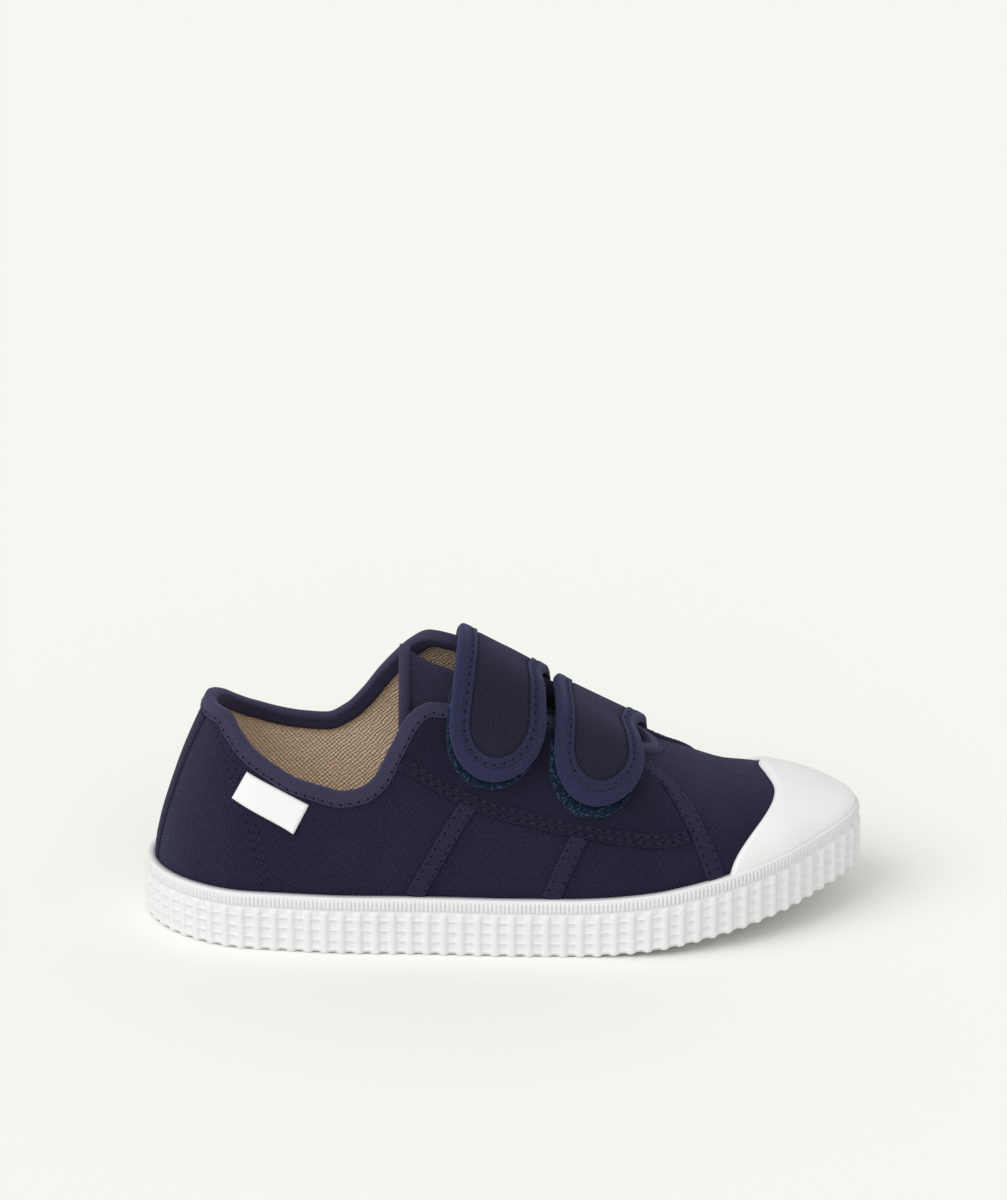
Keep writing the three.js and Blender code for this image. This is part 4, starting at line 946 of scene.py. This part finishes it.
# The second cloth layer beside the throat, with its raised hem
def make_facing(side):
    top = below_edge(BINDING_WIDTH + 0.2, side)
    seam_gap = 1.45 * (TAPE_WIDTH / 2) - 0.4

    def hem(x):
        return side * column(FACING_HEM, "down", x / LENGTH) * QUARTER

    start = FACING_HEM["at"][0] * LENGTH
    while abs(top(start)) > abs(hem(start)) - NUDGE:
        start += 0.1

    def angle_at(x, v):
        a, b = hem(x), top(x)
        return np.where(np.abs(a) > np.abs(b), mix(a, b, v), a)

    columns = 120
    u = np.linspace(0, 1, columns)[:, None]

    # Each line ends at the vamp seam, which is found in small steps
    def place(v):
        end = np.full(v.shape, 0.75 * LENGTH)
        for _ in range(14):
            seam = column(VAMP_SEAM, "at", np.abs(angle_at(end, v)) / QUARTER, "down") * LENGTH
            end = mix(end, seam - seam_gap, 0.6)
        x = mix(start, end, u)
        return turn_at(x), angle_at(x, v)

    reach = last_point(*place(np.zeros((columns, 1)))) - last_point(*place(np.ones((columns, 1))))
    reach = np.linalg.norm(reach, axis=-1)
    hem_share = np.minimum(HEM_WIDTH / np.maximum(reach, NUDGE), 0.96)
    band = np.array([0, 0.02, 0.06, 0.12, 0.3, 0.5, 0.7, 0.85, 0.95, 0.99, 1.01, 1.05, 1.12, 1.25])
    v_low = np.minimum(hem_share * band, 1.0)
    v = np.concatenate([v_low, mix(v_low[:, -1:], 1.0, np.linspace(0, 1, 18)[1:])], 1)
    turn, angle = place(v)
    distance = v * reach
    rise = HEM_RISE * (1 - share((distance - HEM_WIDTH) / 0.1))
    rise = rise - 0.22 * np.exp(-(((distance - HEM_WIDTH - 0.3) / 0.25) ** 2))
    from_end = np.minimum(u, 1 - u) * 70
    rounding = edge_round(distance, 0.45) * edge_round(from_end, 0.5)
    thick = (PANEL_THICKNESS + FIT + rise - UNDERSIDE) * rounding
    surface = on_last(turn, angle, UNDERSIDE + thick)
    bottom = on_last(turn, angle, UNDERSIDE)
    if side == MEDIAL:
        surface, bottom = surface[:, ::-1], bottom[:, ::-1]
    name = SIDE_NAMES[side]
    slab(f"facing_cloth_{name}", surface, bottom, [CANVAS_FINE], (f"facing_{name}",))
    wide_enough = reach > 6
    high = PANEL_THICKNESS + FIT + HEM_RISE
    for up in (1.2, 3.0):
        turn, angle = place(hem_share * (up / HEM_WIDTH))
        stitch_on_last("hem_stitches", turn[wide_enough], angle[wide_enough], high, *HEM_STITCH)


# A strip of even width along a line of places, with rounded edges and two rows of stitches
def make_strip(name, replaced, turn, angle):
    half = TAPE_WIDTH / 2
    along = np.gradient(last_point(turn, angle), axis=0)
    across = unit(np.cross(tangents(turn, angle)[2], along))
    top, bottom = [], []
    for offset in (-1, -0.97, -0.9, -0.6, -0.3, 0, 0.3, 0.6, 0.9, 0.97, 1.0):
        t, a = walk(turn, angle, across, offset * half)
        high = UNDERSIDE + (TAPE_LIFT - UNDERSIDE) * edge_round((1 - abs(offset)) * half, 0.25)
        top.append(on_last(t, a, high))
        bottom.append(on_last(t, a, UNDERSIDE))
    slab(name, np.stack(top, 1), np.stack(bottom, 1), [SEAM_TAPE], (replaced,))
    for side in (-1, 1):
        places = walk(turn, angle, across, side * (half - 0.75))
        stitch_on_last("tape_stitches", *places, TAPE_LIFT, *TAPE_STITCH)


# A slanting tape down a side, from the facing's hem to the foxing
def make_side_tape(name, side):
    top, foot = SIDE_TAPES[name]
    t = np.linspace(0, 1, 40)
    hem = column(FACING_HEM, "down", np.array([top]))[0] - 0.5 / SIDE_ARC
    turn = turn_at(mix(foot, top, t) * LENGTH)
    side_name = SIDE_NAMES[side]
    make_strip(f"tape_{name}_{side_name}", f"side_tape_{name}_{side_name}", turn,
               side * mix(1.0, hem, t) * QUARTER)


# The tape over the vamp seam, from the foxing up to the binding
def make_vamp_tape(side):
    clear = below_edge(BINDING_WIDTH + FIT + TAPE_WIDTH / 3, side)
    down = np.linspace(1.0, SEAM_START, 60)
    x = column(VAMP_SEAM, "at", down, "down") * LENGTH
    keep = down * QUARTER > np.abs(clear(x))
    name = SIDE_NAMES[side]
    make_strip(f"vamp_seam_{name}", f"vamp_tape_{name}", turn_at(x[keep]), side * down[keep] * QUARTER)


# The strip over the back seam
def make_backstay():
    clear = {side: below_edge(BINDING_WIDTH + 0.1, side) for side in (LATERAL, MEDIAL)}
    half = BACKSTAY_WIDTH / 2
    rows = 40

    def line_at(offset):
        side = LATERAL if offset < 0 else MEDIAL
        sideways = np.array([0.0, side, 0.0])
        distance = abs(offset) * half
        top = abs(float(clear[side](BACK)))
        for _ in range(4):
            t, _a = walk(np.array([0.0]), np.array([side * top]), sideways, distance)
            top = abs(float(clear[side](station_at(t[0]))))
        down = mix(top, QUARTER, np.linspace(0, 1, rows))
        return walk(np.zeros(rows), side * down, sideways, distance)

    top, bottom = [], []
    for offset in (1, 0.97, 0.92, *np.linspace(-0.8, 0.8, 11)[::-1], -0.92, -0.97, -1):
        t, a = line_at(offset)
        high = UNDERSIDE + (BACKSTAY_LIFT - UNDERSIDE) * edge_round((1 - abs(offset)) * half, 0.8)
        top.append(on_last(t, a, high))
        bottom.append(on_last(t, a, UNDERSIDE))
    slab("back_strip", np.stack(top, 1), np.stack(bottom, 1), [CANVAS_FINE], ("backstay",))
    for offset in (-0.82, 0.82):
        stitch_on_last("tape_stitches", *line_at(offset), BACKSTAY_LIFT, *CROSS_STITCH)


# The bare label, its lower front corner a little loose
def make_label():
    top_back, top_front, low_back, low_front = (np.array(c) for c in LABEL_CORNERS)
    u = np.linspace(0, 1, 40)[:, None]
    v = np.linspace(0, 1, 20)[None, :]
    low = mix(low_back, low_front, u[..., None])
    place = mix(low, mix(top_back, top_front, u[..., None]), v[..., None])
    turn, angle = turn_at(place[..., 0] * LENGTH), -place[..., 1] * QUARTER
    to_edge = np.minimum(np.minimum(u, 1 - u) * 20, np.minimum(v, 1 - v) * 9)
    loose = 0.9 * share((u - 0.75) / 0.25) ** 2 * share((0.45 - v) / 0.45)
    base = 0.05
    top = on_last(turn, angle, base + loose + (FIT + LABEL_THICKNESS - base) * edge_round(to_edge, 0.3))
    bottom = on_last(turn, angle, base + loose)
    slab("bare_label", top, bottom, [WHITE_TAPE], ("label",))


# The tongue under the throat, with a hem band at its rear edge
def make_tongue():
    start, end = TONGUE_DROP["at"][0] * LENGTH, TONGUE_DROP["at"][-1] * LENGTH
    x = np.concatenate([
        start + np.array([0, 0.15, 0.5, 1.5, 3.0, 4.5, 5.4, 5.7, 5.9, 6.0, 6.3]),
        np.linspace(start + 7, end, 70),
    ])[:, None]
    across = np.sin(np.linspace(-QUARTER, QUARTER, 49))[None, :]
    x, across = np.broadcast_arrays(x, across)
    half_width = TONGUE_WIDTH / 2
    offset = across * half_width
    side = np.where(offset < 0, LATERAL, MEDIAL)
    drop = column(TONGUE_DROP, "drop", x / LENGTH)
    turn = turn_at(x)
    centre, half = plan(x, side)
    wide = np.arcsin(share(np.abs(offset) / (half - drop)))
    angle = side * np.minimum(wide, TONGUE_REACH * QUARTER * np.abs(across))

    def under_last(angle, depth):
        return last_point(turn, angle) - tangents(turn, angle)[2] * (drop + depth)[..., None]

    def layer(depth):
        edge = under_last(angle, depth)
        y = np.where(np.abs(offset) < 1e-9, centre, edge[..., 1])
        return np.stack([under_last(np.zeros(x.shape), depth)[..., 0], y, edge[..., 2]], -1)

    from_end = x - start
    from_side = (1 - np.abs(across)) * half_width
    rounding = edge_round(np.minimum(from_end, from_side), 0.9)
    hem = 0.6 * (1 - share((from_end - 5.6) / 0.3))
    wave = 0.35 * np.sin(from_end / 9) * np.cos(across * 2.2)
    middle = TONGUE_THICKNESS / 2
    top = layer(middle - middle * rounding - hem * rounding + wave)
    bottom = layer(middle + middle * rounding + wave)
    hem_rows = 7
    slab("soft_tongue", top, bottom, [TONGUE_CLOTH, LINING, BINDING], ("tongue",),
         two_sided=True, hem_rows=hem_rows)
    row = ((top[hem_rows - 1] + top[hem_rows]) / 2)[3:-3]
    normal = np.broadcast_to(unit(np.array([-0.2, 0.0, 1.0])), row.shape)
    stitch_row("hem_stitches", row, normal, *TONGUE_STITCH)


# The middle line of a strap, from its sewn end over the ridge to its outer end
class StrapLine:
    def __init__(self, strap, lateral, medial):
        down = np.linspace(medial, -lateral, 241)
        near = np.where(down < 0, strap["end"], strap["sewn"])
        reach = np.where(down < 0, strap["lateral"], strap["medial"])
        at = mix(strap["ridge"], near, np.abs(down) / reach)
        self.turn, self.angle = turn_at(at * LENGTH), down * QUARTER
        points = last_point(self.turn, self.angle)
        self.lengths = run_lengths(points)
        self.total = self.lengths[-1]
        self.along = np.gradient(points, axis=0)

    def at(self, distance):
        turn = np.interp(distance, self.lengths, self.turn)
        angle = np.interp(distance, self.lengths, self.angle)
        return turn, angle, sample(distance, self.lengths, self.along)

    def beside(self, distance, offset):
        turn, angle, along = self.at(distance)
        across = unit(np.cross(tangents(turn, angle)[2], along))
        return walk(turn, angle, across, offset)


# Height of a strap's underside: it lies on the facing, sags at the ridge and rises over the pad
def strap_rise(down):
    over_facing = FIT + PANEL_THICKNESS + 2 * FIT
    sag = 0.3 * (1 - share(np.abs(down) / 0.17) ** 2)
    return over_facing - sag + share(-down / 0.25) * (PAD_THICKNESS + FIT)


# A strap is pressed flat and low where it is sewn down
def sewn_share(along):
    return 0.45 + 0.55 * share(along / 5) ** 0.7


def sewn_drop(along):
    return 0.3 * (1 - share(along / 6))


# Places on a strap in U-shaped rings, each at a distance from the outer edge
def ring_places(line, half, inset):
    straight_points, round_points = 70, 46
    radius = END_LENGTH * half
    straight = line.total - radius
    keep = 1 - inset / half
    run = np.linspace(0, straight, straight_points)
    sweep = np.linspace(0, math.pi, round_points)[1:-1]
    along = np.concatenate([run, straight + radius * keep * np.sin(sweep), run[::-1]])
    ends = np.ones(straight_points)
    return along, half * keep * np.concatenate([-ends, -np.cos(sweep), ends])


# A closed piece from rings between its outer edge and its middle line
def ring_slab(name, top, bottom, materials, replaced, uv, ring_slots):
    rings, columns = top.shape[:2]
    count = rings * columns
    outer = np.arange(columns)
    down = np.arange(rings) * columns
    faces = [grid_faces(rings, columns, flip=True), grid_faces(rings, columns, count)]
    faces += [bridge(line, line + count) for line in (outer, down, down + columns - 1)]
    rest = sum(len(f) for f in faces[1:])
    slots = np.concatenate([np.repeat(ring_slots, columns - 1), np.full(rest, len(materials) - 1)])
    obj = make_object(name, pair(top, bottom), np.concatenate(faces), materials, replaced,
                      pair(uv, uv), slots)
    face_outwards(obj, weld=True)


# A strap: a bound border round a plain middle, thick and rounded at its edges
def make_strap(name):
    strap = STRAPS[name]
    half = STRAP_WIDTH / 2
    line = StrapLine(strap, strap["lateral"], strap["medial"])
    seam = STRAP_BORDER
    seam_dent = 1.3
    rounding = 1.1
    wave_start = 0 if name == "rear" else 1.5
    insets = np.concatenate([
        [0, 0.06, 0.2, 0.45, 0.8, 1.2, 1.7, 2.3, 2.9],
        seam + np.array([-2.1, -1.7, -1.3, -0.9, -0.5, -0.2, -0.05, 0.05, 0.25, 0.6]),
        np.linspace(seam + 1.2, half - 0.01, 8),
    ])
    tops, bottoms, uvs = [], [], []
    for inset in insets:
        along, beside = ring_places(line, half, inset)
        turn, angle = line.beside(along, beside)
        underside = strap_rise(line.at(along)[1] / QUARTER) - sewn_drop(along)
        border = 1 - share((inset - seam + 0.05) / 0.1)
        puff = 0.1 * math.sin(math.pi * share(inset / seam)) * border
        dent = 0.28 * math.exp(-(((inset - seam + seam_dent) / 0.4) ** 2))
        gutter = 0.25 * math.exp(-(((inset - seam - 0.15) / 0.25) ** 2))
        body = STRAP_THICKNESS + BORDER_RISE * border + puff - dent - gutter
        thick = body * math.sqrt(1 - (1 - share(inset / rounding)) ** 2.2 * 0.93)
        soft = 0.25 * np.sin(along / 11 + wave_start) * np.cos(beside / 9) * share(inset / 3)
        lift = 0.55 * share(1 - inset / rounding) ** 2
        sewn = sewn_share(along)
        tops.append(on_last(turn, angle, underside + max(thick, lift + 0.12) * sewn + soft))
        bottoms.append(on_last(turn, angle, underside + lift * 0.8 * sewn))
        uvs.append(np.stack([along, beside], -1))
    in_border = (insets[:-1] + insets[1:]) / 2 < seam
    ring_slab(f"strap_cloth_{name}", np.stack(tops), np.stack(bottoms), [STRAP_TWILL, TAPE],
              (f"strap_{name}",), np.stack(uvs), in_border)
    along, beside = ring_places(line, half, seam - seam_dent)
    high = strap_rise(line.at(along)[1] / QUARTER) + STRAP_THICKNESS + BORDER_RISE - 0.1
    stitch_on_last("strap_stitches", *line.beside(along, beside), high, *HEM_STITCH)
    beside = np.linspace(-half + 1.5, half - 1.5, 30)
    for along in (1.6, 6.5):
        high = strap_rise(line.at(along)[1] / QUARTER) + STRAP_THICKNESS * sewn_share(along)
        high = high - sewn_drop(along) + 0.12
        places = line.beside(np.full(len(beside), along), beside)
        stitch_on_last("strap_stitches", *places, high, *CROSS_STITCH)


# The pad under a strap's end, covered with small fuzzy loops
def make_pad(name):
    strap = STRAPS[name]
    half = STRAP_WIDTH / 2 - PAD_INSET
    reach = strap["lateral"] + PAD_REACH[name] / (plan(strap["end"] * LENGTH, LATERAL)[1] * QUARTER)
    back = PAD_SHIFT / LENGTH
    line = StrapLine(dict(strap, end=strap["end"] - back, ridge=strap["ridge"] - back), reach, -PAD_START)
    radius = END_LENGTH * half
    straight = line.total - radius

    # Share of the half width that a place lies inside the pad's edge
    def room_at(along, beside):
        return 1 - np.sqrt((beside / half) ** 2 + share(1 - (line.total - along) / radius) ** 2)

    distance = np.concatenate([
        np.linspace(0, straight, 24),
        line.total - radius * np.cos(np.linspace(0, QUARTER, 30))[1:],
    ])[:, None]
    left = np.maximum(line.total - distance, 0)
    offset = np.sin(np.linspace(-QUARTER, QUARTER, 41)) * half * round_off(left, radius, 2)
    distance, left = (np.broadcast_to(v, offset.shape) for v in (distance, left))
    places = line.beside(distance.ravel(), offset.ravel())
    turn, angle = (v.reshape(offset.shape) for v in places)
    to_edge = np.where(left < radius, room_at(distance, offset) * half, half - np.abs(offset))
    base = FIT + PANEL_THICKNESS - 0.1
    rough = 0.12 * np.sin(distance * 5.1 + offset * 3.3) * np.sin(offset * 6.2 - distance * 2.1)
    thick = (PAD_THICKNESS * 0.75 + rough) * edge_round(np.maximum(to_edge, 0), 0.6)
    slab(f"loop_pad_{name}", on_last(turn, angle, base + thick), on_last(turn, angle, base), [PAD_BASE],
         (f"pad_{name}",))

    # The loops stand on the band of the pad that shows round the strap's end
    count = 1500
    hidden = straight * 0.2
    along = hidden + (line.total - hidden) * rng.random(count * 3)
    beside = (rng.random(count * 3) * 2 - 1) * half
    room = room_at(along, beside) * half
    keep = np.nonzero((room > 0.25) & (room < 8.5))[0][:count]
    turn, angle = line.beside(along[keep], beside[keep])
    count = len(keep)
    foot = on_last(turn, angle, base + PAD_THICKNESS * 0.55)
    normal = tangents(turn, angle)[2]
    heading = (rng.random(count) * 2 * math.pi)[:, None]
    first = unit(np.cross(normal, np.array([0.3, 0.2, 1.0])))
    direction = first * np.cos(heading) + np.cross(normal, first) * np.sin(heading)
    wide = (0.3 + 0.35 * rng.random(count))[:, None, None]
    tall = (0.25 + 0.4 * rng.random(count))[:, None, None]
    arcs = np.linspace(0, math.pi, 6)[:, None]
    corners = (np.arange(3) * 2 * math.pi / 3)[:, None]
    fibre = 0.07
    spine = foot[:, None] + direction[:, None] * np.cos(arcs) * wide + normal[:, None] * np.sin(arcs) * tall
    tube = (
        spine[:, :, None]
        + np.cross(direction, normal)[:, None, None] * np.cos(corners) * fibre
        + normal[:, None, None] * np.sin(corners) * fibre
    )
    ring = grid_faces(len(arcs), len(corners), closed=True)
    offsets = np.arange(count) * len(arcs) * len(corners)
    faces = (ring + offsets[:, None, None]).reshape(-1, 4)
    # Some loops get the light teal paint of a painted glint, standing in for fibres catching the light, more
    # of them along the pad's edge
    glinting = rng.random(count) < np.where(room[keep] < 0.8, 0.4, 0.12)
    make_object(f"pad_loops_{name}", tube, faces, [LOOPS, LOOPS_GLINT], (),
                face_slots=np.repeat(glinting, len(ring)))


# The lining board inside, with a slight dish
def make_insole():
    start, end = BACK + WALL + 0.2, FRONT - WALL - 0.2
    closer_at_ends = (1 - np.cos(np.linspace(0, math.pi, 90))) / 2
    turn = turn_at(mix(start, end, closer_at_ends))
    across = np.sin(np.linspace(-QUARTER, QUARTER, 41))[:, None]
    left, right = (on_wall(turn, side, 0.0, -WALL - 0.15)[:, None] for side in (LATERAL, MEDIAL))
    bottom = mix(left, right, (across + 1) / 2) + np.array([0, 0, SOLE_THICKNESS + FIT])
    dish = 0.6 * np.cos(across * QUARTER * 0.9) - 0.3
    top = bottom + np.array([0, 0, 1]) * (INSOLE_THICKNESS - dish)
    slab("soft_insole", top[:, ::-1], bottom[:, ::-1], [LINING], ("insole",))


# The double row of stitches that holds the stiffener at the heel, on the outer and inner side
def make_counter_stitches():
    x = np.array([7.1, 12.5, 18.1, 23.7, 28.4, 32.2])
    down = np.array([0.82, 0.92, 1.06, 1.21, 1.34, 1.54])
    fine = np.linspace(x[0], x[-1], 80)
    angle = np.interp(fine, x, down)
    for side in (LATERAL, MEDIAL):
        for ahead, up in ((0.0, 0.0), (1.6, 0.024)):
            places = turn_at(fine + ahead), side * np.minimum(angle - up, QUARTER)
            stitch_on_last("counter_stitches", *places, 0.0, *HEEL_STITCH)


# The outsole keeps its solid and gets the rubber's paint
def carried_over():
    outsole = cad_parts["outsole"]
    outsole.data.materials.clear()
    outsole.data.materials.append(RUBBER)


make_upper()
make_foxing()
make_toe_cap()
make_binding()
for side_sign in (LATERAL, MEDIAL):
    make_facing(side_sign)
    make_vamp_tape(side_sign)
    for tape_name in SIDE_TAPES:
        make_side_tape(tape_name, side_sign)
make_backstay()
make_label()
make_tongue()
for strap_name in STRAPS:
    make_strap(strap_name)
    make_pad(strap_name)
make_insole()
make_counter_stitches()
carried_over()
for stitch_kind in STITCHES:
    build_stitches(stitch_kind)
build_hole_shades()


# Floor, light and camera
def make_stage():
    bpy.ops.mesh.primitive_plane_add(size=6)
    floor = bpy.context.object
    floor.name = "floor"
    n = Nodes("floor_paint", (0.915, 0.915, 0.873), 0.9)
    floor.data.materials.append(n.material)
    world = bpy.data.worlds.new("studio")
    bpy.context.scene.world = world
    world.use_nodes = True
    background = world.node_tree.nodes["Background"].inputs
    background["Color"].default_value = (1.0, 1.0, 0.985, 1)
    background["Strength"].default_value = 0.65


# A far light that shines from a place towards the shoe, soft by its angle in degrees
def make_light(name, place, softness, strength):
    data = bpy.data.lights.new(name, "SUN")
    data.angle = math.radians(softness)
    data.energy = strength
    light = bpy.data.objects.new(name, data)
    bpy.context.collection.objects.link(light)
    light.location = place
    light.rotation_mode = "QUATERNION"
    light.rotation_quaternion = (-Vector(place)).to_track_quat("-Z", "Y")


# The photo's height, its focal length and the row of the aimed point on the floor, in pixels
PHOTO_HEIGHT = 1200
FOCAL_PIXELS = 4871
TARGET_ROW = 903
TARGET_X = 95
CAMERA_ELEVATION = math.radians(24.5)
CAMERA_DISTANCE = 1.3


def make_camera():
    data = bpy.data.cameras.new("camera")
    camera = bpy.data.objects.new("camera", data)
    bpy.context.collection.objects.link(camera)
    data.sensor_width = 36
    data.lens = FOCAL_PIXELS / PHOTO_HEIGHT * data.sensor_width
    data.clip_start, data.clip_end = 0.05, 20
    target = Vector(to_frame((TARGET_X, 0, 0)))
    away = Vector((0, -math.cos(CAMERA_ELEVATION), math.sin(CAMERA_ELEVATION)))
    camera.location = target + CAMERA_DISTANCE * away
    tilt = CAMERA_ELEVATION - math.atan((TARGET_ROW - PHOTO_HEIGHT / 2) / FOCAL_PIXELS)
    camera.rotation_euler = (math.pi / 2 - tilt, 0, 0)
    bpy.context.scene.camera = camera


make_stage()
make_light("key", (-0.85, -0.6, 1.0), 45, 1.2)
make_light("fill", (0.0, -1.0, 0.75), 60, 0.55)
make_camera()
bpy.context.scene.view_settings.view_transform = "Standard"
bpy.context.scene.view_settings.look = "None"
